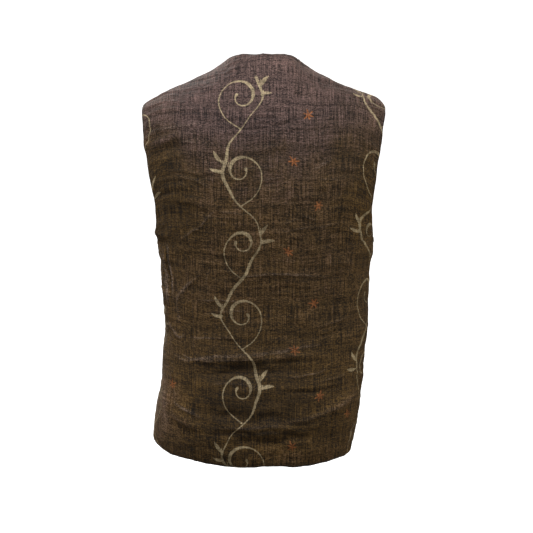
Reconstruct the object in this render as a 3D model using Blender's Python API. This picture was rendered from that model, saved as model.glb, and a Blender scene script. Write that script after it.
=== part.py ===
"""Wrap vest: a sleeveless linen vest, worn, hollow and open at the neck, armholes and hem.

Metres. +X is the wearer's left, +Y the back and +Z up. Every height below is measured up from the lowest
point of the hem. The vest hangs from an empty, which puts the row's origin midway between the neck ends of
the two shoulder seams. Five panels are cut and sewn: a centre back, two side backs, and two fronts, of
which the right one wraps over the left and is held by one button.
"""

import math
from collections import namedtuple
from functools import cache

import bmesh
import bpy
from mathutils import Matrix, Vector

# Cloth, seams and layers
WALL = 0.0015
SEAM_GAP = 0.0003
LAYER_GAP = 0.0015

# Heights over the hem, and widths from the middle
ORIGIN_HEIGHT = 0.650
UNDERARM = 0.360
CHEST_TOP = 0.520
SHOULDER_TIP = 0.5745
TIP_ACROSS = 0.1935
NECK_ACROSS = 0.058
PANEL_SEAM_TOP = 0.1325

# How square the horizontal sections are: 2 would be an ellipse
FULLNESS = 2.35

# How far the armhole reaches behind and in front of the side, and how far it is scooped into the front
ARMHOLE_BACK = 0.062
ARMHOLE_FRONT = 0.070
ARMHOLE_SCOOP = 0.10

# The hem rises towards the side seams, and the rise fades out at this height
HEM_RISE_LEFT = 0.012
HEM_RISE_RIGHT = 0.001
HEM_FADE = 0.200

# The wrap: the height of the front edge's corner, and how far each front passes the middle below it
WRAP_CORNER = 0.235
OVER_REACH = 0.116
UNDER_REACH = 0.102
OVER_LIFT_ACROSS = (-0.146, -0.112)
OVER_LIFT_FADE = (0.500, 0.590)

# The button
BUTTON_RADIUS = 0.009
BUTTON_THICKNESS = 0.0032
BUTTON_SEGMENTS = 24
BUTTON_ACROSS = 0.096
BUTTON_HEIGHT = 0.214
BUTTON_STAND = 0.0004
HOLES = 4
HOLE_RADIUS = 0.0010
HOLE_OUT = 0.0019
HOLE_SEGMENTS = 10

# The button's turned outline, from its back to its dished front, as shares of its radius and thickness
Turn = namedtuple("Turn", "radius height")
BUTTON_PROFILE = (
    Turn(0.00, 0.00),
    Turn(0.86, 0.00),
    Turn(1.00, 0.35),
    Turn(1.00, 0.75),
    Turn(0.91, 1.00),
    Turn(0.82, 1.00),
    Turn(0.70, 0.78),
    Turn(0.00, 0.78),
)

# Rows of the panels' grids, from the hem to the shoulder line, and columns
Band = namedtuple("Band", "low high rows")
BANDS = (
    Band(0.000, 0.010, 1),
    Band(0.010, 0.200, 16),
    Band(0.200, WRAP_CORNER, 3),
    Band(WRAP_CORNER, UNDERARM, 7),
    Band(UNDERARM, 0.396, 4),
    Band(0.396, CHEST_TOP, 6),
)
SHOULDER_ROWS = 6
NECK_COLUMNS = 5
CENTRE_COLUMNS = 5
SIDE_COLUMNS = 6
FRONT_COLUMNS = 18

# Samples along half a section, and the step of its slopes
SAMPLES = 60
STEP = 0.002

# How the cloth arcs from the chest and shoulder blades up to the ridge
ARC_PULL = 1.05
OVER_RISE = 0.12
NECK_SCOOP = 0.28

# Where folds start over the hem, where they end over the chest, and how they thin out towards their ends
HEM_ROOM = (-0.004, 0.016)
CHEST_ROOM = (CHEST_TOP, CHEST_TOP + 0.5)
FOLD_TAPER = 0.7

# Half widths and depths of the body of the vest at each height
Section = namedtuple("Section", "height left right back front")
SECTIONS = (
    Section(0.000, 0.179, 0.147, 0.113, 0.112),
    Section(0.010, 0.182, 0.150, 0.118, 0.116),
    Section(0.030, 0.183, 0.154, 0.121, 0.118),
    Section(0.076, 0.178, 0.161, 0.122, 0.119),
    Section(0.103, 0.172, 0.164, 0.119, 0.118),
    Section(0.131, 0.167, 0.166, 0.114, 0.116),
    Section(0.158, 0.167, 0.168, 0.109, 0.114),
    Section(0.185, 0.165, 0.171, 0.105, 0.112),
    Section(0.212, 0.162, 0.174, 0.102, 0.112),
    Section(0.266, 0.165, 0.174, 0.101, 0.115),
    Section(0.317, 0.167, 0.177, 0.106, 0.119),
    Section(0.335, 0.171, 0.180, 0.108, 0.120),
    Section(0.360, 0.176, 0.181, 0.111, 0.121),
    Section(0.400, 0.174, 0.177, 0.116, 0.120),
    Section(0.426, 0.176, 0.178, 0.118, 0.118),
    Section(0.453, 0.181, 0.181, 0.119, 0.114),
    Section(0.479, 0.185, 0.184, 0.118, 0.107),
    Section(0.520, 0.192, 0.191, 0.113, 0.092),
)

# The shoulder seam, from its tip to its neck end, and on across the neck, where the cloth is cut away
Ridge = namedtuple("Ridge", "across left right")
RIDGE = (
    Ridge(0.000, 0.6845, 0.6845),
    Ridge(0.030, 0.6775, 0.6775),
    Ridge(0.045, 0.6670, 0.6670),
    Ridge(0.053, 0.6580, 0.6580),
    Ridge(NECK_ACROSS, ORIGIN_HEIGHT, ORIGIN_HEIGHT),
    Ridge(0.070, 0.6405, 0.6405),
    Ridge(0.087, 0.6295, 0.6295),
    Ridge(0.105, 0.6210, 0.6210),
    Ridge(0.122, 0.6120, 0.6120),
    Ridge(0.155, 0.5985, 0.5995),
    Ridge(0.170, 0.5905, 0.5940),
    Ridge(0.183, 0.5835, 0.5870),
    Ridge(TIP_ACROSS, SHOULDER_TIP, SHOULDER_TIP),
)

# The seam between centre back and side back
PanelSeam = namedtuple("PanelSeam", "height across")
PANEL_SEAM = (
    PanelSeam(0.000, 0.108),
    PanelSeam(0.200, 0.113),
    PanelSeam(0.360, 0.119),
    PanelSeam(CHEST_TOP, PANEL_SEAM_TOP),
)

# How far the front edge passes the middle, from the wrap's corner up to the chest
WrapEdge = namedtuple("WrapEdge", "height past")
WRAP_EDGE = (
    WrapEdge(WRAP_CORNER, 1.000),
    WrapEdge(0.300, 0.655),
    WrapEdge(0.360, 0.375),
    WrapEdge(0.410, 0.165),
    WrapEdge(0.440, 0.060),
    WrapEdge(0.480, -0.080),
    WrapEdge(CHEST_TOP, -0.190),
)

# The largest folds, each a soft ridge (depth over 0) or trough along a bowed line across one face
Fold = namedtuple("Fold", "face from_x from_z to_x to_z bow half_width depth")
BACK, FRONT = 1, -1
FOLDS = (
    Fold(BACK, 0.128, 0.164, -0.128, 0.178, 0.006, 0.0075, 0.0042),
    Fold(BACK, 0.112, 0.148, -0.070, 0.154, 0.004, 0.0085, -0.0052),
    Fold(BACK, 0.080, 0.121, -0.138, 0.134, 0.000, 0.0080, 0.0026),
    Fold(BACK, 0.128, 0.093, -0.055, 0.083, -0.005, 0.0100, -0.0050),
    Fold(BACK, 0.148, 0.086, 0.096, 0.061, -0.003, 0.0070, 0.0046),
    Fold(BACK, 0.060, 0.062, -0.100, 0.072, -0.006, 0.0085, 0.0048),
    Fold(BACK, -0.090, 0.080, -0.142, 0.108, 0.000, 0.0100, 0.0032),
    Fold(BACK, 0.055, 0.044, -0.085, 0.056, -0.004, 0.0090, -0.0038),
    Fold(BACK, 0.163, 0.345, 0.150, 0.226, -0.004, 0.0080, 0.0030),
    Fold(BACK, 0.150, 0.330, 0.139, 0.232, -0.003, 0.0070, -0.0030),
    Fold(BACK, 0.196, 0.510, 0.100, 0.536, 0.002, 0.0080, 0.0030),
    Fold(BACK, 0.190, 0.494, 0.110, 0.520, 0.002, 0.0080, -0.0028),
    Fold(FRONT, 0.090, 0.225, -0.150, 0.330, 0.008, 0.0110, 0.0040),
    Fold(FRONT, 0.080, 0.205, -0.155, 0.262, 0.006, 0.0110, -0.0036),
    Fold(FRONT, 0.085, 0.200, -0.120, 0.150, -0.008, 0.0120, 0.0038),
    Fold(FRONT, 0.110, 0.120, -0.110, 0.088, -0.006, 0.0120, -0.0036),
    Fold(FRONT, 0.120, 0.090, -0.100, 0.058, -0.006, 0.0110, 0.0036),
    Fold(FRONT, 0.165, 0.350, 0.110, 0.290, 0.000, 0.0100, 0.0032),
    Fold(FRONT, -0.170, 0.355, -0.110, 0.310, 0.000, 0.0100, 0.0030),
)

# Edges turned more than this are shaded sharp
SHARP_ANGLE = math.radians(40)

# Colours and finish
LINEN = {"name": "linen", "colour": (0.072, 0.046, 0.029, 1.0), "roughness": 0.88}
HORN = {"name": "horn", "colour": (0.030, 0.018, 0.011, 1.0), "roughness": 0.38}


def smooth(low, high, value):
    """0 below low, 1 above high, and an S-curve between."""
    share = min(1.0, max(0.0, (value - low) / (high - low)))
    return share * share * (3 - 2 * share)


def hermite(start, leaving, end, arriving, t):
    """A cubic from start to end with the given speeds at its two ends, at a share t of the way."""
    return (
        start * (2 * t**3 - 3 * t**2 + 1)
        + leaving * (t**3 - 2 * t**2 + t)
        + end * (3 * t**2 - 2 * t**3)
        + arriving * (t**3 - t**2)
    )


def read(table, column, at):
    """A column of a table, on a smooth curve through its rows, at a value of the first column."""
    last = len(table) - 1
    at = min(table[last][0], max(table[0][0], at))
    low = max(i for i in range(last) if table[i][0] <= at)

    def slope(i):
        before, after = table[max(0, i - 1)], table[min(last, i + 1)]
        return (getattr(after, column) - getattr(before, column)) / (after[0] - before[0])

    here, there = table[low], table[low + 1]
    span = there[0] - here[0]
    return hermite(
        getattr(here, column), slope(low) * span,
        getattr(there, column), slope(low + 1) * span,
        (at - here[0]) / span,
    )


def straight(knots, value):
    """A line through (value, result) knots, carried on straight past both ends."""
    pairs = list(zip(knots, knots[1:]))
    low, high = next((pair for pair in pairs if value <= pair[1][0]), pairs[-1])
    return low[1] + (high[1] - low[1]) * (value - low[0]) / (high[0] - low[0])


def armhole_swing(height):
    """0 at the underarm and at the shoulder tip, 1 halfway: the armhole's edge is half an oval."""
    half = (SHOULDER_TIP - UNDERARM) / 2
    off_middle = (height - UNDERARM - half) / half
    return math.sqrt(max(0.0, 1 - off_middle**2)) if height > UNDERARM else 0.0


@cache
def section(face, side, height):
    """The half width and depth of the whole section, and the share of its depth at which the cloth ends.

    The cloth ends at the side seam, where that share is 0, or at the armhole's edge. There the table's
    width is the edge's, so the section is wider by as much as it curves in to the edge.
    """
    out = read(SECTIONS, "left" if side > 0 else "right", height)
    swing = armhole_swing(height)
    if face == BACK:
        depth = read(SECTIONS, "back", height)
        end = ARMHOLE_BACK * swing / depth
    else:
        out *= 1 - ARMHOLE_SCOOP * swing**2
        depth = read(SECTIONS, "front", height)
        end = ARMHOLE_FRONT * swing / depth
    return out / (1 - end**FULLNESS) ** (1 / FULLNESS), depth, end


def hem_rise(face, angle, height):
    """How far the hem is lifted towards the side seams, faded out above."""
    turn = math.sin(angle)
    if face == BACK:
        rise = (HEM_RISE_LEFT if angle > 0 else HEM_RISE_RIGHT) * turn**2
    else:
        rise = HEM_RISE_RIGHT + (HEM_RISE_LEFT - HEM_RISE_RIGHT) * (1 + turn) / 2
    return rise * (1 - min(1.0, height / HEM_FADE)) ** 2


def ring_point(face, angle, height):
    """A point of the plain body: angle 0 is the middle of the face, and 90 degrees its end on the left."""
    side = 1 if angle >= 0 else -1
    out, depth, _ = section(face, side, height)
    power = 2 / FULLNESS
    x = side * out * abs(math.sin(angle)) ** power
    y = face * depth * math.copysign(abs(math.cos(angle)) ** power, math.cos(angle))
    return Vector((x, y, height + hem_rise(face, angle, height)))


@cache
def girths(face, side, height):
    """(length, angle) pairs along a section, from its middle to its end on one side."""
    pairs, length = [(0.0, 0.0)], 0.0
    last = ring_point(face, 0.0, height)
    for i in range(SAMPLES):
        angle = side * math.pi / 2 * (i + 1) / SAMPLES
        point = ring_point(face, angle, height)
        length += (point - last).length
        pairs.append((length, abs(angle)))
        last = point
    return pairs


def angle_of(face, length, height):
    """The angle at a signed length of cloth from the middle of a section."""
    side = 1 if length >= 0 else -1
    return side * straight(girths(face, side, height), abs(length))


def length_of(face, angle, height):
    """The signed length of cloth from the middle of a section to an angle."""
    side = 1 if angle >= 0 else -1
    turned = [(a, length) for length, a in girths(face, side, height)]
    return side * straight(turned, abs(angle))


@cache
def length_to(face, across, height):
    """The signed length of cloth from the middle to a place this far across."""
    side = 1 if across >= 0 else -1
    out = section(face, side, height)[0]
    angle = math.asin(min(1.0, abs(across) / out) ** (FULLNESS / 2))
    return length_of(face, side * angle, height)


@cache
def side_length(face, side, height):
    """The signed length of cloth from the middle to the side seam or armhole."""
    end = section(face, side, height)[2]
    return length_of(face, side * math.acos(end ** (FULLNESS / 2)), height)


def wrap_across(side, height):
    """How far across a front's free edge lies; side is the side that the front belongs to."""
    past = 1.0 if height <= WRAP_CORNER else read(WRAP_EDGE, "past", height)
    return -side * (UNDER_REACH if side > 0 else OVER_REACH) * past


@cache
def ridge_knots(face, side):
    """(length at the chest, distance across at the ridge) pairs that spread the cloth over the shoulder."""
    end = (abs(side_length(face, side, CHEST_TOP)), TIP_ACROSS)
    if face == BACK:
        seam = abs(length_to(face, side * PANEL_SEAM_TOP, CHEST_TOP))
        return (0.0, 0.0), (seam, PANEL_SEAM_TOP), end
    neckline = abs(length_to(face, wrap_across(side, CHEST_TOP), CHEST_TOP))
    return (neckline, NECK_ACROSS), end


def ridge_across(face, angle):
    """How far across the ridge the cloth ends that passes the chest at this angle."""
    side = 1 if angle >= 0 else -1
    length = abs(length_of(face, angle, CHEST_TOP))
    return side * straight(ridge_knots(face, side), length)


def ridge_point(across):
    """A point of the shoulder seam, or of its smooth run across the neck, which the neck edge cuts off."""
    return Vector((across, 0, read(RIDGE, "left" if across > 0 else "right", abs(across))))


def neck_cut(across):
    """The share of the arc up to the ridge at which the cloth ends: less than 1 within the neck."""
    inside = max(0.0, 1 - (across / NECK_ACROSS) ** 2)
    return 1 - NECK_SCOOP * math.sqrt(inside)


def surface(face, angle, level):
    """The plain cloth. A level is a height up to the chest, and above it 0 to 1 more up to the ridge."""
    if level <= CHEST_TOP:
        return ring_point(face, angle, level)
    start = ring_point(face, angle, CHEST_TOP)
    rising = start - ring_point(face, angle, CHEST_TOP - STEP)
    across = ridge_across(face, angle)
    end = ridge_point(across)
    pull = ARC_PULL * (end - start).length
    drift = Vector((end.x - start.x, 0, 0))
    leaving = rising.normalized() * pull + drift
    arriving = Vector((0, -face, OVER_RISE)).normalized() * pull + drift
    return hermite(start, leaving, end, arriving, level - CHEST_TOP)


def outward(face, angle, level):
    """The direction out of the plain cloth. On the shoulder seam, back and front share it."""
    across = ridge_across(face, angle)
    if level >= CHEST_TOP + 1 and abs(across) >= NECK_ACROSS - STEP / 10:
        run = ridge_point(abs(across) + STEP) - ridge_point(abs(across) - STEP)
        return Vector((math.copysign(run.z, across), 0, run.x)).normalized()
    tall = surface(face, angle, min(CHEST_TOP + 1, level + STEP)) - surface(face, angle, level - STEP)
    wide = surface(face, angle + STEP, level) - surface(face, angle - STEP, level)
    return face * tall.cross(wide).normalized()


def fold_depth(face, x, z):
    """How far the folds push the cloth of one face out at a place."""
    total = 0.0
    place = Vector((x, z))
    for fold in FOLDS:
        if fold.face != face:
            continue
        start = Vector((fold.from_x, fold.from_z))
        run = Vector((fold.to_x, fold.to_z)) - start
        along = run.normalized()
        share = (place - start).dot(along) / run.length
        if not 0 < share < 1:
            continue
        bow = math.copysign(fold.bow * 4 * share * (1 - share), along.x)
        off = along.cross(place - start) - bow
        taper = math.sin(math.pi * share) ** FOLD_TAPER
        total += fold.depth * taper * math.exp(-((off / fold.half_width) ** 2))
    return total


class Panel:
    """One cut piece: rows of points from the hem to the ridge, between a start and an end edge."""

    def __init__(self, name, face, start, end, shares, lift=None):
        """start and end give the edges' signed lengths from the middle at a height."""
        self.name = name
        self.face = face
        self.start = start
        self.end = end
        self.shares = shares
        self.lift = lift

    def angle(self, share, level):
        """The angle at a share of the panel's width, moved in by half a seam's gap at its two edges."""
        height = min(level, CHEST_TOP)
        start, end = self.start(height), self.end(height)
        length = start + (end - start) * share
        inward = math.copysign(SEAM_GAP / 2, end - start)
        if share == 0:
            length += inward
        if share == 1:
            length -= inward
        return angle_of(self.face, length, height)

    def outer(self, share, level):
        """A point of the panel's outer surface and the direction out of it."""
        angle = self.angle(share, level)
        if self.face == BACK and level > CHEST_TOP:
            level = CHEST_TOP + (level - CHEST_TOP) * neck_cut(ridge_across(BACK, angle))
        point = surface(self.face, angle, level)
        out = outward(self.face, angle, level)
        push = fold_depth(self.face, point.x, point.z) * fold_room(level)
        if self.lift:
            push += self.lift(point)
        if level >= CHEST_TOP + 1:
            point.y += self.face * SEAM_GAP / 2
        return point + out * push, out

    def build(self, cloth):
        """The closed wall of the panel, as an object."""
        rows = [[self.outer(share, level) for share in self.shares] for level in level_list()]
        mesh = bmesh.new()
        grids = [
            [[mesh.verts.new(point - out * depth) for point, out in row] for row in rows]
            for depth in (0, WALL)
        ]
        add_grid_faces(mesh, grids)
        bmesh.ops.recalc_face_normals(mesh, faces=mesh.faces)
        return finished(mesh, self.name, cloth)


def fold_room(level):
    """Folds fade out just over the hem and on the shoulder, so that the edges stay clean."""
    return smooth(*HEM_ROOM, level) * (1 - smooth(*CHEST_ROOM, level))


def add_grid_faces(mesh, grids):
    """Faces of the outer and inner grid, and the rim that joins them all round."""
    outer, inner = grids
    tall, wide = len(outer), len(outer[0])
    for r in range(tall - 1):
        for c in range(wide - 1):
            for grid in grids:
                corners = (grid[r][c], grid[r][c + 1], grid[r + 1][c + 1], grid[r + 1][c])
                mesh.faces.new(corners)
    border = [(0, c) for c in range(wide)]
    border += [(r, wide - 1) for r in range(1, tall)]
    border += [(tall - 1, c) for c in range(wide - 2, -1, -1)]
    border += [(r, 0) for r in range(tall - 2, 0, -1)]
    for (r0, c0), (r1, c1) in zip(border, border[1:] + border[:1]):
        mesh.faces.new((outer[r0][c0], outer[r1][c1], inner[r1][c1], inner[r0][c0]))


def level_list():
    """The levels of a panel's rows: heights up to the chest, then steps of the shoulder arc."""
    levels = [0.0]
    for band in BANDS:
        step = (band.high - band.low) / band.rows
        levels += [band.low + step * (i + 1) for i in range(band.rows)]
    levels += [CHEST_TOP + (i + 1) / SHOULDER_ROWS for i in range(SHOULDER_ROWS)]
    return levels


def even(count):
    """Shares of an even division, both ends included."""
    return [i / count for i in range(count + 1)]


def centre_shares():
    """The centre back's shares: finer round the neck's corners, with a line on each of them."""
    neck = [
        NECK_ACROSS * math.sin(math.pi / 2 * i / NECK_COLUMNS)
        for i in range(NECK_COLUMNS + 1)
    ]
    step = (PANEL_SEAM_TOP - NECK_ACROSS) / CENTRE_COLUMNS
    half = neck + [NECK_ACROSS + step * (i + 1) for i in range(CENTRE_COLUMNS)]
    both = [-x for x in reversed(half[1:])] + half
    return [0.5 + x / PANEL_SEAM_TOP / 2 for x in both]


def back_seam(side):
    """The seam between centre back and side back, as a length from the middle at each height."""
    return lambda height: length_to(BACK, side * read(PANEL_SEAM, "across", height), height)


def body_side(face, side):
    """The side seam and, over it, the armhole's edge."""
    return lambda height: side_length(face, side, height)


def wrap_edge(side):
    """A front's free edge, from the hem up to the neck."""
    return lambda height: length_to(FRONT, wrap_across(side, height), height)


def over_lift(point):
    """The over front clears the under front, and comes back down at its own side and shoulder."""
    across = smooth(*OVER_LIFT_ACROSS, point.x)
    upward = 1 - smooth(*OVER_LIFT_FADE, point.z)
    return (WALL + LAYER_GAP) * across * upward


def panels():
    """The five panels of the vest."""
    cut = [Panel("back_centre", BACK, back_seam(-1), back_seam(1), centre_shares())]
    for name, side in (("left", 1), ("right", -1)):
        edges = back_seam(side), body_side(BACK, side)
        cut.append(Panel("back_side_" + name, BACK, *edges, even(SIDE_COLUMNS)))
    for name, side, lift in (("left_under", 1, None), ("right_over", -1, over_lift)):
        edges = body_side(FRONT, side), wrap_edge(side)
        cut.append(Panel("front_" + name, FRONT, *edges, even(FRONT_COLUMNS), lift))
    return cut


def finished(mesh, name, finish):
    """An object with its material, smooth but for its sharp edges."""
    data = bpy.data.meshes.new(name)
    mesh.to_mesh(data)
    mesh.free()
    data.shade_smooth()
    data.set_sharp_from_angle(angle=SHARP_ANGLE)
    data.materials.append(material(finish))
    obj = bpy.data.objects.new(name, data)
    bpy.context.scene.collection.objects.link(obj)
    return obj


def material(finish):
    """The Principled material of a finish, made once."""
    found = bpy.data.materials.get(finish["name"])
    if found:
        return found
    made = bpy.data.materials.new(finish["name"])
    made.use_nodes = True
    shader = made.node_tree.nodes["Principled BSDF"]
    shader.inputs["Base Color"].default_value = finish["colour"]
    shader.inputs["Roughness"].default_value = finish["roughness"]
    shader.inputs["Metallic"].default_value = 0.0
    return made


def button():
    """The dished, four-holed button, lying on the over front near its corner."""
    angle = angle_of(FRONT, length_to(FRONT, BUTTON_ACROSS, BUTTON_HEIGHT), BUTTON_HEIGHT)
    point = surface(FRONT, angle, BUTTON_HEIGHT)
    out = outward(FRONT, angle, BUTTON_HEIGHT)
    push = fold_depth(FRONT, point.x, point.z) + over_lift(point) + BUTTON_STAND
    mesh = bmesh.new()
    points = [
        mesh.verts.new((turn.radius * BUTTON_RADIUS, 0, turn.height * BUTTON_THICKNESS))
        for turn in BUTTON_PROFILE
    ]
    edges = [mesh.edges.new(pair) for pair in zip(points, points[1:])]
    bmesh.ops.spin(
        mesh, geom=points + edges, cent=(0, 0, 0), axis=(0, 0, 1),
        angle=2 * math.pi, steps=BUTTON_SEGMENTS, use_merge=True,
    )
    bmesh.ops.remove_doubles(mesh, verts=mesh.verts, dist=1e-6)
    bmesh.ops.recalc_face_normals(mesh, faces=mesh.faces)
    disc = finished(mesh, "button", HORN)
    cutter = hole_cutter()
    lean = out.to_track_quat("Z", "X").to_matrix().to_4x4()
    for obj in (disc, cutter):
        obj.matrix_world = Matrix.Translation(point + out * push) @ lean
    cut = disc.modifiers.new("thread_holes", "BOOLEAN")
    cut.operation = "DIFFERENCE"
    cut.object = cutter
    return disc, cutter


def hole_cutter():
    """Four rods that cut the button's thread holes."""
    mesh = bmesh.new()
    for i in range(HOLES):
        turn = math.pi / 4 + 2 * math.pi * i / HOLES
        centre = (HOLE_OUT * math.cos(turn), HOLE_OUT * math.sin(turn), 0)
        bmesh.ops.create_cone(
            mesh, cap_ends=True, segments=HOLE_SEGMENTS, depth=4 * BUTTON_THICKNESS,
            radius1=HOLE_RADIUS, radius2=HOLE_RADIUS, matrix=Matrix.Translation(centre),
        )
    cutter = finished(mesh, "button_holes", HORN)
    cutter.hide_render = True
    cutter.display_type = "WIRE"
    return cutter


def main():
    """Clears the scene and builds the vest under an empty at the shoulder line."""
    for obj in list(bpy.data.objects):
        bpy.data.objects.remove(obj, do_unlink=True)
    vest = bpy.data.objects.new("vest", None)
    bpy.context.scene.collection.objects.link(vest)
    vest.location = (0, 0, -ORIGIN_HEIGHT)
    made = [panel.build(LINEN) for panel in panels()]
    made += button()
    for obj in made:
        obj.parent = vest


main()
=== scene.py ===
"""Wrap vest: fine cloth, print, button and finishes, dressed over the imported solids.

Metres, in the row's frame: +X is the wearer's left, +Y the back, +Z up, and the origin lies midway between
the neck ends of the shoulder seams. Heights that this script calls heights are measured up from the hem's
lowest point, as the vest was cut. A level is a height up to the chest, and above it a share, from 0 to 1,
of the cloth's arc up to the shoulder seam.
"""

import logging
import math
from dataclasses import dataclass, field
from enum import Enum
from typing import Callable, Iterable

import bmesh
import bpy
import numpy as np
from mathutils import Matrix, Vector
from mathutils.bvhtree import BVHTree


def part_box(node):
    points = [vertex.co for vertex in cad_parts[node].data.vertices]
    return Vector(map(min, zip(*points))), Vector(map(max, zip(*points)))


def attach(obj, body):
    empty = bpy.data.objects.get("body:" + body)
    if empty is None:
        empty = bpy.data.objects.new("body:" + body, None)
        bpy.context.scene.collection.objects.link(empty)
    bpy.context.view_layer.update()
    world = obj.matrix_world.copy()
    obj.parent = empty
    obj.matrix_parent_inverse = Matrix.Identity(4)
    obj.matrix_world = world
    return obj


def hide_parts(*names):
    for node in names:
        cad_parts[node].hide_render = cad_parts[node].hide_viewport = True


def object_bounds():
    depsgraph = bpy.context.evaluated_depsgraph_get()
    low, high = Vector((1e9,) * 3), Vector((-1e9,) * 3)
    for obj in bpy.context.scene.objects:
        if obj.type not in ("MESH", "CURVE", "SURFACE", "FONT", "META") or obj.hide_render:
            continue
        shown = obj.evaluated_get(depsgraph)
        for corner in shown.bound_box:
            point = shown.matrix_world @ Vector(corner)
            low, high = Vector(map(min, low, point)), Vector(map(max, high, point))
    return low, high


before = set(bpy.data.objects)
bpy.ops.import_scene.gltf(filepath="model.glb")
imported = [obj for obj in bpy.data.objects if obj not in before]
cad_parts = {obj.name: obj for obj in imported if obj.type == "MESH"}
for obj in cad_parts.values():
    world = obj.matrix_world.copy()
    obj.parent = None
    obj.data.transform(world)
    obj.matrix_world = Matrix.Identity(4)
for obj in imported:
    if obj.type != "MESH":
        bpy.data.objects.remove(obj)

CAD_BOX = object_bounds()
BODY = "root"
LOG = logging.getLogger("vest")

Array = np.ndarray
Pair = tuple[float, float]
Knots = tuple[Pair, ...]
Place = tuple[float, float, float]
Colour = tuple[float, float, float, float]
Socket = bpy.types.NodeSocket

# How far the origin lies over the hem's lowest point
ORIGIN_HEIGHT = 0.650


class Face(Enum):
    """The two faces of the vest, by the sign of Y."""

    BACK = 1
    FRONT = -1


def ease(low: float, high: float, value: Array) -> Array:
    """0 below low, 1 above high, and an S-curve between."""
    share = np.clip((value - low) / (high - low), 0.0, 1.0)
    return share * share * (3 - 2 * share)


def bell(value: Array, width: float) -> Array:
    """1 at 0, falling away over a width on both sides."""
    return np.exp(-((value / width) ** 2))


def through(places: Array, results: Array, value: Array) -> Array:
    """Straight runs through known results, carried on straight past both ends.

    Args:
        places: the known places, rising.
        results: the results there.
        value: the places asked for.

    Returns:
        The result at each.
    """
    inside = np.interp(value, places, results)
    below = results[0] + (value - places[0]) * (results[1] - results[0]) / (places[1] - places[0])
    above = results[-1] + (value - places[-1]) * (results[-1] - results[-2]) / (places[-1] - places[-2])
    return np.where(value < places[0], below, np.where(value > places[-1], above, inside))


def hermite(start: Array, leaving: Array, end: Array, arriving: Array, t: Array) -> Array:
    """A cubic from start to end with the given speeds at its ends, at a share t of the way.

    Args:
        start: where it starts.
        leaving: the speed there.
        end: where it ends.
        arriving: the speed there.
        t: shares of the way.

    Returns:
        The points at those shares.
    """
    return (
        start * (2 * t**3 - 3 * t**2 + 1)
        + leaving * (t**3 - 2 * t**2 + t)
        + end * (3 * t**2 - 2 * t**3)
        + arriving * (t**3 - t**2)
    )


@dataclass(frozen=True)
class Profile:
    """A smooth curve through (place, value) knots, level past both ends."""

    knots: Knots

    def at(self, place: Array | float) -> Array:
        """The value at each place.

        Args:
            place: the places asked for.

        Returns:
            The curve's value at each.
        """
        keys = np.array([knot[0] for knot in self.knots])
        values = np.array([knot[1] for knot in self.knots])
        last = len(keys) - 1
        before = np.maximum(np.arange(last + 1) - 1, 0)
        after = np.minimum(np.arange(last + 1) + 1, last)
        slopes = (values[after] - values[before]) / (keys[after] - keys[before])
        place = np.clip(np.asarray(place, float), keys[0], keys[-1])
        low = np.clip(np.searchsorted(keys, place, side="right") - 1, 0, last - 1)
        span = keys[low + 1] - keys[low]
        share = (place - keys[low]) / span
        return hermite(
            values[low], slopes[low] * span, values[low + 1], slopes[low + 1] * span, share
        )


def metres(*lengths: float) -> tuple[float, ...]:
    """Lengths in mm, in metres."""
    return tuple(length / 1000 for length in lengths)


def curve(places: tuple[float, ...], *values: float) -> Profile:
    """A smooth curve through values at places, all of them in mm."""
    return Profile(tuple(zip(metres(*places), metres(*values))))


# Heights of the form's sections and places across the shoulder line, in mm
SECTION_HEIGHTS = (0, 10, 30, 76, 103, 131, 158, 185, 212, 266, 317, 335, 360, 400, 426, 453, 479, 520)
RIDGE_PLACES = (0, 30, 45, 53, 58, 70, 87, 105, 122, 155, 170, 183, 193.5)


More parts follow.
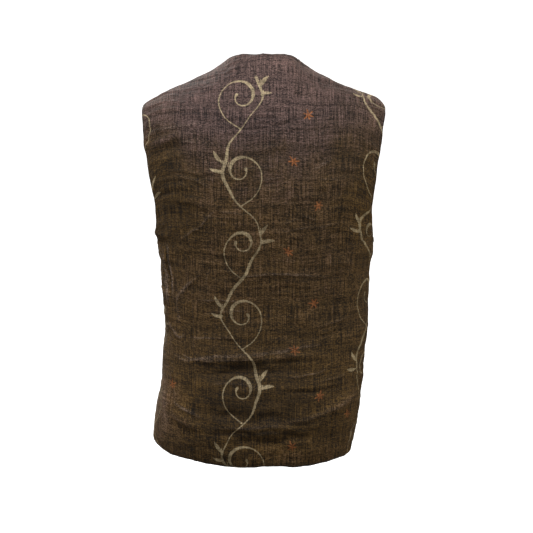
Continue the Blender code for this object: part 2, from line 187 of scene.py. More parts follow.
class Rumple:
    """Seeded noise over the cloth's plane, in three kinds, each about 1 across at a cell size of 1."""

    SIDE = 256

    def __init__(self, seed: int) -> None:
        """Draws the tables.

        Args:
            seed: fixes the pattern.
        """
        draw = np.random.default_rng(seed)
        turn = draw.uniform(0, 2 * math.pi, (self.SIDE, self.SIDE))
        self.slopes = np.stack([np.cos(turn), np.sin(turn)], axis=-1)
        self.seats = draw.uniform(0.1, 0.9, (self.SIDE, self.SIDE, 2))

    def soft(self, x: Array, y: Array) -> Array:
        """Smooth hills and hollows, from about -1 to 1.

        Args:
            x: places across, in cells.
            y: places up, in cells.

        Returns:
            The height at each place.
        """
        x0, y0 = np.floor(x).astype(int), np.floor(y).astype(int)
        fx, fy = x - x0, y - y0
        total = np.zeros_like(fx)
        for dx in (0, 1):
            for dy in (0, 1):
                slope = self.slopes[(x0 + dx) % self.SIDE, (y0 + dy) % self.SIDE]
                reach = slope[..., 0] * (fx - dx) + slope[..., 1] * (fy - dy)
                share_x = ease(0, 1, 1 - np.abs(fx - dx))
                share_y = ease(0, 1, 1 - np.abs(fy - dy))
                total += reach * share_x * share_y
        return total * 1.6

    def layered(self, x: Array, y: Array, layers: int) -> Array:
        """Smooth noise with finer layers of half the height on it.

        Args:
            x: places across, in cells.
            y: places up, in cells.
            layers: how many layers there are.

        Returns:
            The height at each place.
        """
        total = np.zeros_like(x)
        for i in range(layers):
            total += self.soft(x * 2**i + 17 * i, y * 2**i - 9 * i) / 2**i
        return total

    def creases(self, x: Array, y: Array, width: float) -> Array:
        """Lines along the borders of uneven cells, 1 on a line and 0 away from it.

        Args:
            x: places across, in cells.
            y: places up, in cells.
            width: the lines' half width, in cells.

        Returns:
            The lines' strength.
        """
        x0, y0 = np.floor(x).astype(int), np.floor(y).astype(int)
        nearest = np.full(x.shape, 9.0)
        second = np.full(x.shape, 9.0)
        for dx in (-1, 0, 1):
            for dy in (-1, 0, 1):
                cx, cy = x0 + dx, y0 + dy
                seat = self.seats[cx % self.SIDE, cy % self.SIDE]
                away = np.hypot(cx + seat[..., 0] - x, cy + seat[..., 1] - y)
                second = np.minimum(second, np.maximum(nearest, away))
                nearest = np.minimum(nearest, away)
        return bell(second - nearest, width)


@dataclass(frozen=True)
class WornForm:
    """The worn body of the vest, which every panel of cloth lies on."""

    chest_top: float = 0.520
    underarm: float = 0.360
    shoulder_tip: float = 0.5745
    tip_across: float = 0.1935
    neck_across: float = 0.058
    neck_scoop: float = 0.28
    fullness: float = 2.35
    armhole_back: float = 0.062
    armhole_front: float = 0.070
    armhole_scoop: float = 0.10
    hem_rise_left: float = 0.012
    hem_rise_right: float = 0.001
    hem_fade: float = 0.200
    notch_height: float = 0.358
    notch_depth: float = 0.0026
    tip_flare_left: float = 0.0030
    tip_flare_right: float = 0.0058
    tip_flare_height: float = 0.570
    tip_flare_reach: float = 0.026
    arc_pull: float = 1.05
    over_rise: float = 0.12
    step: float = 0.002
    samples: int = 160
    left: Profile = curve(
        SECTION_HEIGHTS,
        179, 182, 183, 178, 172, 167, 167, 165, 162,
        165, 167, 171, 176, 174, 176, 181, 185, 192,
    )
    right: Profile = curve(
        SECTION_HEIGHTS,
        145.5, 148.5, 153, 161, 164, 166, 168, 171, 174,
        174, 177, 180, 181, 177, 178, 181, 184, 191,
    )
    back: Profile = curve(
        SECTION_HEIGHTS,
        113, 118, 121, 122, 119, 114, 109, 105, 102,
        101, 106, 108, 111, 116, 118, 119, 118, 113,
    )
    front: Profile = curve(
        SECTION_HEIGHTS,
        112, 116, 118, 119, 118, 116, 114, 112, 112,
        115, 119, 120, 121, 120, 118, 114, 107, 92,
    )
    hem_drop: Profile = Profile((
        (-0.115, 0.0), (-0.090, 0.0010), (-0.076, 0.0030), (-0.050, 0.0032), (-0.030, 0.0004), (-0.006, 0.0),
        (0.016, 0.0028), (0.056, 0.0030), (0.085, 0.0014), (0.120, 0.0),
    ))
    ridge_left: Profile = curve(
        RIDGE_PLACES,
        684.5, 677.5, 667, 658, 650, 641, 630.3,
        622.1, 613.8, 599.8, 591.2, 583.5, 574.5,
    )
    ridge_right: Profile = curve(
        RIDGE_PLACES,
        684.5, 677.5, 667, 658, 650, 640.5, 629.5,
        621, 612, 599.5, 594, 587, 574.5,
    )

    def swing(self, height: Array) -> Array:
        """0 at the underarm and the shoulder tip, 1 halfway: the armhole's edge is half an oval.

        Args:
            height: heights over the hem.

        Returns:
            The swing at each height.
        """
        half = (self.shoulder_tip - self.underarm) / 2
        off_middle = (height - self.underarm - half) / half
        return np.where(height > self.underarm, np.sqrt(np.maximum(0.0, 1 - off_middle**2)), 0.0)

    def section(self, face: Face, left: Array, height: Array) -> tuple[Array, Array, Array]:
        """The whole horizontal section at a height.

        Args:
            face: back or front.
            left: true on the wearer's left.
            height: heights over the hem.

        Returns:
            Its half width, its depth, and the share of that depth at which the cloth ends.
        """
        out = np.where(left, self.left.at(height), self.right.at(height))
        swing = self.swing(height)
        if face is Face.BACK:
            depth = self.back.at(height)
            end = self.armhole_back * swing / depth
        else:
            out = out * (1 - self.armhole_scoop * swing**2)
            depth = self.front.at(height)
            end = self.armhole_front * swing / depth
        return out / (1 - end**self.fullness) ** (1 / self.fullness), depth, end

    def hem_rise(self, face: Face, angle: Array, height: Array) -> Array:
        """How far the hem is lifted towards the side seams, faded out above.

        Args:
            face: back or front.
            angle: angles round the face, 0 in its middle.
            height: heights over the hem.

        Returns:
            The lift at each point.
        """
        turn = np.sin(angle)
        if face is Face.BACK:
            rise = np.where(angle > 0, self.hem_rise_left, self.hem_rise_right) * turn**2
        else:
            rise = self.hem_rise_right + (self.hem_rise_left - self.hem_rise_right) * (1 + turn) / 2
        return rise * (1 - np.minimum(1.0, height / self.hem_fade)) ** 2

    def ring(self, face: Face, angle: Array, height: Array) -> Array:
        """Points of the sections: angle 0 is the middle of the face, a right angle its left end.

        Args:
            face: back or front.
            angle: angles round the face, 0 in its middle.
            height: heights over the hem.

        Returns:
            The points, with their heights over the hem.
        """
        out, depth, _ = self.section(face, angle >= 0, height)
        power = 2 / self.fullness
        x = np.sign(angle) * out * np.abs(np.sin(angle)) ** power
        bulge = np.sign(np.cos(angle)) * np.abs(np.cos(angle)) ** power
        y = face.value * depth * bulge
        z = height + self.hem_rise(face, angle, height)
        return np.stack(np.broadcast_arrays(x, y, z), axis=-1)

    def girths(self, face: Face, height: float) -> tuple[Array, Array]:
        """Signed lengths of cloth from the middle of one section, and the angles that they reach.

        Args:
            face: back or front.
            height: the height over the hem.

        Returns:
            The lengths and the angles.
        """
        angles = np.linspace(-math.pi / 2, math.pi / 2, 2 * self.samples + 1)
        points = self.ring(face, angles, np.full_like(angles, height))
        lengths = np.concatenate([[0.0], np.cumsum(np.linalg.norm(np.diff(points, axis=0), axis=1))])
        return lengths - lengths[self.samples], angles

    def length_to(self, face: Face, across: float, height: float) -> float:
        """The signed length of cloth from the middle to a place this far across.

        Args:
            face: back or front.
            across: how far across the place is.
            height: the height over the hem.

        Returns:
            The length.
        """
        out = float(self.section(face, np.array(across >= 0), np.array(height))[0])
        angle = math.copysign(math.asin(min(1.0, abs(across) / out) ** (self.fullness / 2)), across)
        lengths, angles = self.girths(face, height)
        return float(np.interp(angle, angles, lengths))

    def side_length(self, face: Face, side: int, height: float) -> float:
        """The signed length of cloth from the middle to the side seam or armhole.

        Args:
            face: back or front.
            side: 1 on the wearer's left, -1 on the right.
            height: the height over the hem.

        Returns:
            The length.
        """
        end = float(self.section(face, np.array(side > 0), np.array(height))[2])
        lengths, angles = self.girths(face, height)
        return float(np.interp(side * math.acos(end ** (self.fullness / 2)), angles, lengths))

    def ridge(self, across: Array) -> Array:
        """Points of the shoulder seam and of its smooth run on across the neck.

        Args:
            across: places across.

        Returns:
            The points.
        """
        out = np.abs(across)
        z = np.where(across > 0, self.ridge_left.at(out), self.ridge_right.at(out))
        return np.stack(np.broadcast_arrays(across, 0.0, z), axis=-1)

    def settled(self, points: Array) -> Array:
        """Small moves of the plain cloth: wide shoulder tips, a notched left armhole, an uneven hem.

        Args:
            points: the plain points.

        Returns:
            The move of each point.
        """
        x, height = points[..., 0], points[..., 2]
        tip = bell(height - self.tip_flare_height, self.tip_flare_reach) * ease(0.140, 0.188, np.abs(x))
        flare = np.where(x > 0, self.tip_flare_left, self.tip_flare_right) * np.sign(x) * tip
        over_notch = height - self.notch_height
        notch = bell(over_notch - 0.011, 0.007) * 0.8 - bell(over_notch, 0.008)
        flare = flare + self.notch_depth * notch * ease(0.140, 0.168, x)
        drop = self.hem_drop.at(x) * (1 - ease(0.0, 0.060, height)) * (points[..., 1] > 0)
        return np.stack([flare, np.zeros_like(x), -drop], axis=-1)

    def neck_cut(self, across: Array) -> Array:
        """The share of the arc at which the cloth ends: less than 1 within the neck."""
        inside = np.maximum(0.0, 1 - (across / self.neck_across) ** 2)
        return 1 - self.neck_scoop * np.sqrt(inside)


@dataclass(frozen=True)
class Wrap:
    """The line of the fronts' free edges, and how far the over front stands off the under one.

    The edge_spring is the share of the lift that the over front's free edge has on top of it.
    """

    over_reach: float = 0.116
    under_reach: float = 0.102
    lift: float = 0.0030
    edge_spring: float = 0.45
    lift_across: Pair = (-0.146, -0.112)
    lift_fade: Pair = (0.500, 0.590)
    past: Profile = Profile((
        (0.235, 1.000), (0.300, 0.655), (0.360, 0.375), (0.410, 0.165), (0.440, 0.060),
        (0.480, -0.080), (0.520, -0.190),
    ))

    def across(self, side: int, height: float) -> float:
        """How far across a front's free edge lies; side is the side that the front belongs to."""
        reach = self.under_reach if side > 0 else self.over_reach
        return -side * reach * float(self.past.at(height))

    def stand_off(self, points: Array) -> Array:
        """How far the over front is lifted at each point.

        Args:
            points: the over front's plain points.

        Returns:
            The lift at each.
        """
        across = ease(*self.lift_across, points[..., 0])
        upward = 1 - ease(*self.lift_fade, points[..., 2])
        return self.lift * across * upward


@dataclass(frozen=True)
class Fold:
    """A soft ridge (depth over 0) or trough along a bowed line across one face."""

    face: Face
    start: Pair
    end: Pair
    bow: float
    half_width: float
    depth: float

    def push(self, x: Array, z: Array, wander: Array) -> Array:
        """How far the fold pushes the cloth out.

        Args:
            x: places across.
            z: heights over the hem.
            wander: noise that makes the line and its depth uneven.

        Returns:
            The push at each place.
        """
        start, end = np.array(self.start), np.array(self.end)
        length = np.linalg.norm(end - start)
        along = (end - start) / length
        dx, dz = x - start[0], z - start[1]
        share = np.clip((dx * along[0] + dz * along[1]) / length, 0.0, 1.0)
        off = along[0] * dz - along[1] * dx
        off = off - math.copysign(1, along[0]) * self.bow * 4 * share * (1 - share)
        off = off + wander * self.half_width * 0.55
        taper = np.sin(math.pi * share) ** 0.8
        return self.depth * taper * (1 + 0.24 * wander) * bell(off, self.half_width)


BACK, FRONT = Face.BACK, Face.FRONT

# Widths of the cloth that is turned in or left inside, along the hem, the free edges and the seams
HEM_TURN = 0.022
EDGE_TURN = 0.007
SEAM_ALLOWANCE = 0.011

# Folds in mm: where they start and end, across and over the hem, then bow, half width and depth
BACK_FOLDS = (
    ((128, 164), (-128, 178), 6, 7, 4.2),
    ((112, 148), (-70, 154), 4, 8.5, -4.6),
    ((80, 121), (-138, 134), 0, 8, 2.8),
    ((128, 93), (-55, 83), -5, 10, -4.8),
    ((148, 86), (96, 61), -3, 7, 4.6),
    ((60, 62), (-100, 72), -6, 8.5, 4.6),
    ((-90, 80), (-142, 108), 0, 10, 3.2),
    ((55, 44), (-85, 56), -4, 9, -3.8),
    ((163, 345), (150, 226), -4, 8, 3),
    ((150, 330), (139, 232), -3, 7, -3),
    ((196, 510), (100, 536), 2, 8, 3),
    ((190, 494), (110, 520), 2, 8, -1.8),
)
FRONT_FOLDS = (
    ((90, 225), (-150, 330), 8, 11, 4),
    ((80, 205), (-155, 262), 6, 11, -3.6),
    ((85, 200), (-120, 150), -8, 12, 3.8),
    ((110, 120), (-110, 88), -6, 12, -3.6),
    ((120, 90), (-100, 58), -6, 11, 3.6),
    ((165, 350), (110, 290), 0, 10, 3.2),
    ((-170, 355), (-110, 310), 0, 10, 3),
)
FOLDS = tuple(
    Fold(face, metres(*start), metres(*end), *metres(bow, half_width, depth))
    for face, rows in ((BACK, BACK_FOLDS), (FRONT, FRONT_FOLDS))
    for start, end, bow, half_width, depth in rows
)


def along_line(points: Array, u: Array, v: Array) -> tuple[Array, Array]:
    """Finds the nearest place on a line.

    Args:
        points: the line's points.
        u: places across.
        v: places up.

    Returns:
        How far each place lies from the line, and the station reached, counted in points of the line.
    """
    places = np.stack([u, v], axis=-1)
    best, station = np.full(u.shape, 1.0), np.zeros(u.shape)
    for i, (a, b) in enumerate(zip(points, points[1:])):
        run = b - a
        share = np.clip(((places - a) @ run) / max(run @ run, 1e-12), 0.0, 1.0)
        away = np.linalg.norm(places - a - share[..., None] * run, axis=-1)
        closer = away < best
        best, station = np.where(closer, away, best), np.where(closer, i + share, station)
    return best, station


@dataclass(frozen=True)
class Crease:
    """A fine ridge (depth over 0) with a paler top, partly rubbed wear and partly a painted highlight, or a
    trough darkened along it by painted shade.
    """

    face: Face
    points: Knots
    half_width: float
    depth: float
    wear_and_painted_light: float = 0.0

    PIECES = 4
    FINE = 0.0024
    TROUGH_SHADE = 0.85
    CRISPNESS = 1.30

    def line(self) -> Array:
        """Points of the smooth curve.

        Returns:
            The points, across and over the hem.
        """
        count = len(self.points)
        stations = np.linspace(0, count - 1, (count - 1) * self.PIECES + 1)
        across = Profile(tuple((i, point[0]) for i, point in enumerate(self.points)))
        up = Profile(tuple((i, point[1]) for i, point in enumerate(self.points)))
        return np.stack([across.at(stations), up.at(stations)], axis=-1)

    def mark(self, x: Array, z: Array, marks: "CreaseMarks") -> None:
        """Adds the crease to the marks at places across and heights over the hem.

        Args:
            x: places across.
            z: heights over the hem.
            marks: what is added to.
        """
        line = self.line()
        reach = max(3 * self.half_width, 0.010)
        low, high = line.min(axis=0) - reach, line.max(axis=0) + reach
        near = (x > low[0]) & (x < high[0]) & (z > low[1]) & (z < high[1])
        if not near.any():
            return
        away, station = along_line(line, x[near], z[near])
        taper = np.sin(math.pi * np.clip(station / (len(line) - 1), 0, 1)) ** 0.6
        marks.push[near] += self.CRISPNESS * self.depth * taper * bell(away, self.half_width)
        # A ridge's top is made paler, partly rubbed wear and partly a painted highlight; a trough is
        # darkened, which is painted shade.
        wear_and_painted_light = self.wear_and_painted_light if self.depth > 0 else -self.TROUGH_SHADE
        if wear_and_painted_light:
            crease_band = 1000 * away * (self.FINE / self.half_width) ** 0.8 - 0.9
            closer = near.copy()
            closer[near] = crease_band < marks.away[near]
            kept = closer[near]
            marks.away[closer] = crease_band[kept]
            marks.wear_and_painted_light[closer] = (wear_and_painted_light * taper)[kept]


@dataclass
class CreaseMarks:
    """What creases do on a grid: their push, and the nearest one's distance and its wear and painted light
    (over 0: a paler top, partly rubbed wear and partly a painted highlight; under 0: painted shade in a
    trough).
    """

    push: Array
    away: Array
    wear_and_painted_light: Array


# Creases: half width and depth in mm, wear (how pale a ridge's top is made, partly rubbed wear and partly a
# painted highlight; troughs get painted shade instead), and the line's points in mm, across and over the hem
BACK_CREASES = (
    (5, 1.4, 0.9, (146, 176), (124, 168), (100, 174), (58, 181), (16, 183)),
    (5.5, 1.3, 0.8, (30, 181), (-24, 188), (-62, 194), (-94, 198)),
    (2.8, 0.9, 0.7, (118, 168), (65, 173), (6, 175)),
    (5, -1.4, 0, (102, 159), (40, 166), (-20, 171), (-92, 177)),
    (3, -1, 0, (124, 147), (80, 152), (43, 156)),
    (2.6, 1, 0.9, (56, 307), (12, 312), (-28, 314), (-70, 311), (-108, 306)),
    (2.2, 0.7, 0.5, (94, 248), (58, 252), (20, 254)),
    (2.8, 1.4, 0.9, (98, 312), (122, 292), (138, 262), (135, 226)),
    (2.2, 0.8, 0.5, (108, 303), (124, 286), (131, 268)),
    (2.8, 1.6, 1.0, (156, 228), (145, 214), (134, 203), (127, 211)),
    (2.5, 0.9, 0.6, (88, 133), (65, 138), (40, 137), (4, 130)),
    (2.2, -0.8, 0, (86, 142), (43, 140)),
    (2.6, 1.1, 0.4, (-89, 138), (-112, 142), (-134, 145)),
    (3.2, -1.3, 0, (-12, 126), (-52, 124), (-92, 123), (-134, 127)),
    (6, 1.8, 0.4, (-33, 74), (-60, 77), (-89, 86), (-120, 96), (-155, 111)),
    (4.5, 1.4, 0.6, (80, 65), (50, 67), (19, 67), (-33, 73)),
    (3.5, 1.8, 1.0, (146, 99), (120, 88), (100, 81)),
    (3.5, 1.2, 0.4, (151, 80), (125, 68), (101, 59)),
    (2, 0.8, 1.1, (103, 268), (66, 270), (30, 268)),
    (2, 0.8, 1.0, (120, 206), (80, 208), (46, 210)),
    (2.2, 0.9, 0.9, (-40, 146), (-75, 150), (-108, 158)),
    (5, -1.4, 0, (94, 50), (62, 56), (33, 59), (-44, 61), (-109, 63)),
    (2.2, 0.9, 0.6, (-12, 56), (-26, 60), (-38, 61)),
    (4, -1.3, 0, (28, 20), (18, 27), (8, 20)),
    (3.4, 1.4, 0.6, (188, 523), (176, 534), (160, 541), (130, 547), (98, 552)),
    (3.4, -1.6, 0, (186, 518), (165, 528), (143, 533)),
    (2.2, 0.8, 0.6, (133, 523), (118, 524), (104, 521)),
    (2.4, 1.1, 0.9, (134, 364), (108, 384), (91, 398), (75, 418)),
    (4, -1.4, 0, (178, 429), (160, 437), (133, 446)),
    (2.4, 1, 0.8, (-79, 481), (-94, 488), (-108, 498)),
    (2.2, 0.8, 0.6, (-23, 383), (-60, 387), (-95, 390), (-119, 395)),
    (2, 0.7, 0.5, (-27, 394), (-45, 400), (-60, 404)),
    (2.8, -1.2, 0, (-60, 568), (-90, 573), (-118, 582)),
    (2.4, -0.9, 0, (-27, 553), (-65, 561), (-106, 568)),
    (2.2, 0.6, 0.5, (41, 483), (24, 484), (6, 483)),
    (2.2, 0.6, 0.5, (70, 415), (48, 413), (27, 409)),
    (2.4, 2, 1.6, (152, 356), (151, 336), (149, 318), (147, 290), (146, 262)),
    (2.2, 1.6, 1.5, (161, 345), (158, 320), (155, 280), (153, 250)),
    (2, -1.8, 0, (155.5, 352), (154, 320), (151, 270)),
    (8, 1.2, 0.25, (166, 150), (160, 110), (158, 70), (163, 40)),
    (2.4, -1, 0, (116, 167), (78, 166), (43, 162), (-14, 167)),
    (2.2, 0.9, 0.8, (132, 178), (119, 173), (89, 171)),
    (2, -0.8, 0, (5, 571), (-37, 572), (-72, 570)),
    (2.2, -0.9, 0, (-83, 514), (-109, 512), (-127, 514)),
    (2, -0.8, 0, (-96, 504), (-112, 505), (-128, 502)),
    (2.2, -0.9, 0, (8, 457), (-16, 460), (-32, 464)),
    (2, 0.7, 0.5, (10, 463), (-12, 466), (-30, 470)),
    (2, 0.7, 0.6, (-86, 464), (-104, 466), (-121, 463)),
    (2, 0.7, 0.6, (-50, 407), (-70, 405), (-85, 400)),
    (2, -0.8, 0, (-12, 372), (-32, 377), (-46, 380)),
    (2.4, -0.8, 0, (106, 572), (80, 574), (54, 571)),
    (2.2, 0.8, 0.4, (72, 340), (84, 322), (90, 300), (86, 276)),
    (2.4, 0.9, 0.5, (-86, 226), (-112, 232), (-140, 240)),
    (2.4, -0.9, 0, (-60, 206), (-94, 210), (-126, 219)),
    (2.2, 0.8, 0.5, (132, 470), (104, 462), (80, 450)),
    (2.2, -0.8, 0, (126, 456), (100, 449), (82, 438)),
    (2.6, 1, 1.0, (-148, 60), (-144, 40), (-136, 18)),
)
FRONT_CREASES = (
    (3.4, 1.4, 0.7, (82, 221), (45, 243), (0, 260), (-60, 268)),
    (3, -1.2, 0, (80, 214), (40, 222), (-10, 232)),
    (3.2, 1.3, 0.6, (83, 208), (50, 196), (12, 190), (-40, 192)),
    (2.8, 1.1, 0.5, (88, 201), (66, 172), (40, 150)),
    (2.6, 1, 0.8, (-45, 310), (-90, 322), (-132, 345)),
    (3.4, 1.2, 0.6, (20, 118), (-35, 126), (-95, 120)),
    (3, 1, 0.5, (60, 74), (10, 81), (-55, 76), (-110, 64)),
    (3.4, 1.3, 0.6, (-150, 160), (-140, 200), (-146, 246)),
    (3, 1.2, 0.6, (150, 240), (143, 282), (148, 326)),
    (3, 1.1, 0.7, (-60, 420), (-90, 440), (-128, 452)),
    (2.8, 1, 0.7, (92, 400), (118, 412), (140, 436)),
    (3.4, -1.3, 0, (-120, 500), (-145, 515), (-172, 520)),
    (3.4, 1.3, 0.5, (118, 496), (146, 512), (172, 516)),
)
CREASES = tuple(
    Crease(face, tuple(metres(*point) for point in points), *metres(half_width, depth), wear_and_painted_light)
    for face, rows in ((BACK, BACK_CREASES), (FRONT, FRONT_CREASES))
    for half_width, depth, wear_and_painted_light, *points in rows
)


@dataclass(frozen=True)
class FadeAndShadePatch:
    """A soft patch that makes the cloth lighter or darker, greyer or browner: partly dye changed by wear and
    light, partly painted light, shade and sheen.
    """

    face: Face
    place: Pair
    reach: Pair
    light: float = 0.0
    grey: float = 0.0

    def share(self, x: Array, z: Array) -> Array:
        """How strong the patch is at places across and heights over the hem."""
        return bell(np.hypot((x - self.place[0]) / self.reach[0], (z - self.place[1]) / self.reach[1]), 1.0)


# Patches: middle and reach in mm, across and up, then how much lighter and how much greyer; partly faded dye,
# partly painted light, shade and sheen
BACK_FADE_AND_SHADE = (
    ((48, 115), (75, 70), -0.36, -0.20),
    ((-52, 120), (60, 65), -0.20, -0.25),
    ((10, 105), (90, 50), -0.14, -0.62),
    ((0, 340), (40, 50), 0.10, 0),
    ((52, 225), (40, 45), -0.20, 0),
    ((-80, 330), (60, 110), -0.09, 0),
    ((-20, 190), (70, 30), -0.14, 0),
    ((155, 500), (50, 45), -0.25, -0.30),
    ((137, 425), (34, 75), -0.34, -0.25),
    ((10, 500), (60, 40), -0.30, -0.28),
    ((-137, 495), (34, 50), -0.34, -0.25),
    ((-95, 550), (45, 26), -0.18, -0.12),
    ((60, 575), (60, 32), -0.14, 0),
    ((-178, 585), (18, 22), 0.26, 0),
    ((-172, 375), (16, 110), 0.20, 0),
    ((164, 80), (24, 75), 0.42, 0.40),
    ((129, 14), (26, 28), -0.36, 0),
    ((74, 46), (34, 24), -0.18, 0),
    ((168, 330), (16, 50), 0.20, -0.10),
    ((-155, 78), (34, 75), 0.26, 0),
    ((-52, 10), (55, 18), 0.46, 0.25),
    ((-40, 660), (45, 36), 0.30, 0.10),
    ((40, 600), (90, 60), 0.00, 0.30),
    ((175, 440), (40, 110), 0.00, -0.50),
    ((-172, 460), (40, 120), 0.00, -0.50),
)
FRONT_FADE_AND_SHADE = (
    ((60, 120), (80, 70), -0.20, 0),
    ((-80, 160), (70, 80), 0.12, 0.10),
    ((-130, 540), (60, 60), 0.10, 0.20),
)
FADE_AND_SHADE_PATCHES = tuple(
    FadeAndShadePatch(face, metres(*place), metres(*reach), light, grey)
    for face, rows in ((BACK, BACK_FADE_AND_SHADE), (FRONT, FRONT_FADE_AND_SHADE))
    for place, reach, light, grey in rows
)


@dataclass
class Stroke:
    """One painted stroke: points on the cloth's plane and the half width at each."""

    points: Array
    half_widths: Array

    MARGIN = 0.012

    def near(self, u: Array, v: Array) -> Array:
        """Where a grid comes near the stroke."""
        low, high = self.points.min(axis=0) - self.MARGIN, self.points.max(axis=0) + self.MARGIN
        return (u > low[0]) & (u < high[0]) & (v > low[1]) & (v < high[1])

    def nearness(self, u: Array, v: Array) -> tuple[Array, Array]:
        """How each place lies to the stroke.

        Args:
            u: places across.
            v: places up.

        Returns:
            The millimetres outside the stroke's edge, under 0 inside, and the way from its middle line in
            millimetres, across and up, with its half width there.
        """
        away, station = along_line(self.points, u, v)
        stations = np.arange(len(self.points))
        half = np.interp(station, stations, self.half_widths)
        du = u - np.interp(station, stations, self.points[:, 0])
        dv = v - np.interp(station, stations, self.points[:, 1])
        return 1000 * (away - half), 1000 * np.stack([du, dv, half], axis=-1)


@dataclass(frozen=True)
class ScrollPrint:
    """A brushed border scroll of common kind: a waving stem, curled tendrils and pointed leaves."""

    wavelength: float = 0.236
    sway: float = 0.030
    wobble: float = 0.0030
    thin: float = 0.00065
    stem_half_width: float = 0.0014
    tendril_half_width: float = 0.0015
    tendril_turns: float = 1.30
    tendril_inner: float = 0.009
    leaf_length: float = 0.025
    leaf_half_width: float = 0.0034
    sizes: tuple[float, ...] = (0.86, 0.62, 0.76, 0.56, 0.70)

    def stem(self, u: float, low: float, high: float, sign: int) -> Stroke:
        """The waving stem at u between two heights of the cloth, thick on its crests.

        Args:
            u: where it is across the cloth.
            low: where it starts.
            high: where it ends.
            sign: the side of its first crest.

        Returns:
            The stroke.
        """
        v = np.arange(low, high, 0.005)
        turn = 2 * math.pi * (v - low) / self.wavelength
        wobble = self.wobble * (np.sin(2.3 * turn + u * 90) + 0.6 * np.sin(5.1 * turn))
        points = np.stack([u + sign * self.sway * np.sin(turn) + wobble, v], axis=-1)
        pressed = 1 + 0.30 * np.abs(np.sin(turn)) + 0.65 * np.sin(1.37 * turn + 1 + u * 9)
        return Stroke(points, np.maximum(self.stem_half_width * pressed, self.thin))

    def tendril(self, u: float, v: float, side: int, size: float) -> Stroke:
        """A tendril that leaves the stem a quarter wave under (u, v) and curls in round it.

        Args:
            u: where it is across the cloth.
            v: where it is up the cloth.
            side: the side that it curls round.
            size: its share of full size.

        Returns:
            The stroke.
        """
        t = np.linspace(0, 1, 52)
        outer = (self.wavelength / 4 - 0.004) * (1 - (1 - size) * ease(0.0, 0.30, t))
        angle = -math.pi / 2 - side * 2 * math.pi * self.tendril_turns * t
        inward = (outer - self.tendril_inner) * t**0.6
        radius = outer - inward + self.wobble * 0.5 * np.sin(11 * t + v * 40)
        centre = np.array([u, v - 0.004])
        round_it = np.stack([np.cos(angle) * (0.88 + 0.12 * size), np.sin(angle)], axis=-1)
        points = centre + round_it * radius[:, None]
        pressed = 0.55 + 1.25 * bell(t - 0.30 - 0.25 * size, 0.16) + 0.90 * bell(t - 1, 0.06)
        return Stroke(points, np.maximum(self.tendril_half_width * pressed, self.thin))

    def leaf(self, u: float, v: float, heading: float, size: float) -> Stroke:
        """A pointed leaf that starts at (u, v).

        Args:
            u: where it is across the cloth.
            v: where it is up the cloth.
            heading: the angle that it points in.
            size: its share of full size.

        Returns:
            The stroke.
        """
        t = np.linspace(0, 1, 10)
        bend = heading + 0.6 * (t - 0.5)
        steps = np.stack([np.cos(bend), np.sin(bend)], axis=-1) * self.leaf_length * size / 9
        points = np.array([u, v]) + np.concatenate([[[0, 0]], np.cumsum(steps[:-1], axis=0)])
        return Stroke(points, self.leaf_half_width * size * np.sin(math.pi * np.clip(t, 0.03, 0.97)) ** 0.8)

    def scroll(self, u: float, low: float, high: float, sign: int = 1) -> list[Stroke]:
        """A whole scroll: stem, a tendril in each hollow and two leaves on each crest.

        Args:
            u: where it is across the cloth.
            low: where it starts.
            high: where it ends.
            sign: the side of its first crest.

        Returns:
            All its strokes.
        """
        strokes = [self.stem(u, low, high, sign)]
        side, v, turn = sign, low + self.wavelength / 4, 0
        while v - self.wavelength / 4 < high:
            size = self.sizes[turn % len(self.sizes)]
            strokes.append(self.tendril(u, v, side, size))
            for lean, length in ((0.95, 0.62 + 0.4 * size), (0.15, 1.25 - 0.6 * size)):
                heading = math.pi / 2 - side * (math.pi / 2 - lean)
                strokes.append(self.leaf(u + side * self.sway, v + 0.016 * lean - 0.008, heading, length))
            side, v, turn = -side, v + self.wavelength / 2, turn + 1
        return strokes


@dataclass(frozen=True)
class Bloom:
    """The seat of one blossom on a panel's cloth, and how far it is turned."""

    u: float
    v: float
    turn: float

    REACH = 0.0115

    def near(self, u: Array, v: Array) -> Array:
        """Where a grid comes near the blossom."""
        return np.hypot(u - self.u, v - self.v) < 2 * self.REACH

    def nearness(self, u: Array, v: Array) -> tuple[Array, Array]:
        """How each place lies to the blossom.

        Args:
            u: places across.
            v: places up.

        Returns:
            The millimetres outside the blossom's round, and the way from its middle in millimetres, across
            and up, with its turn.
        """
        du, dv = 1000 * (u - self.u), 1000 * (v - self.v)
        return np.hypot(du, dv) - 1000 * self.REACH, np.stack([du, dv, np.full_like(du, self.turn)], axis=-1)


@dataclass(frozen=True)
class Motifs:
    """What is painted on one panel."""

    scrolls: tuple[tuple[float, float, float, int], ...] = ()
    blooms: tuple[Bloom, ...] = ()


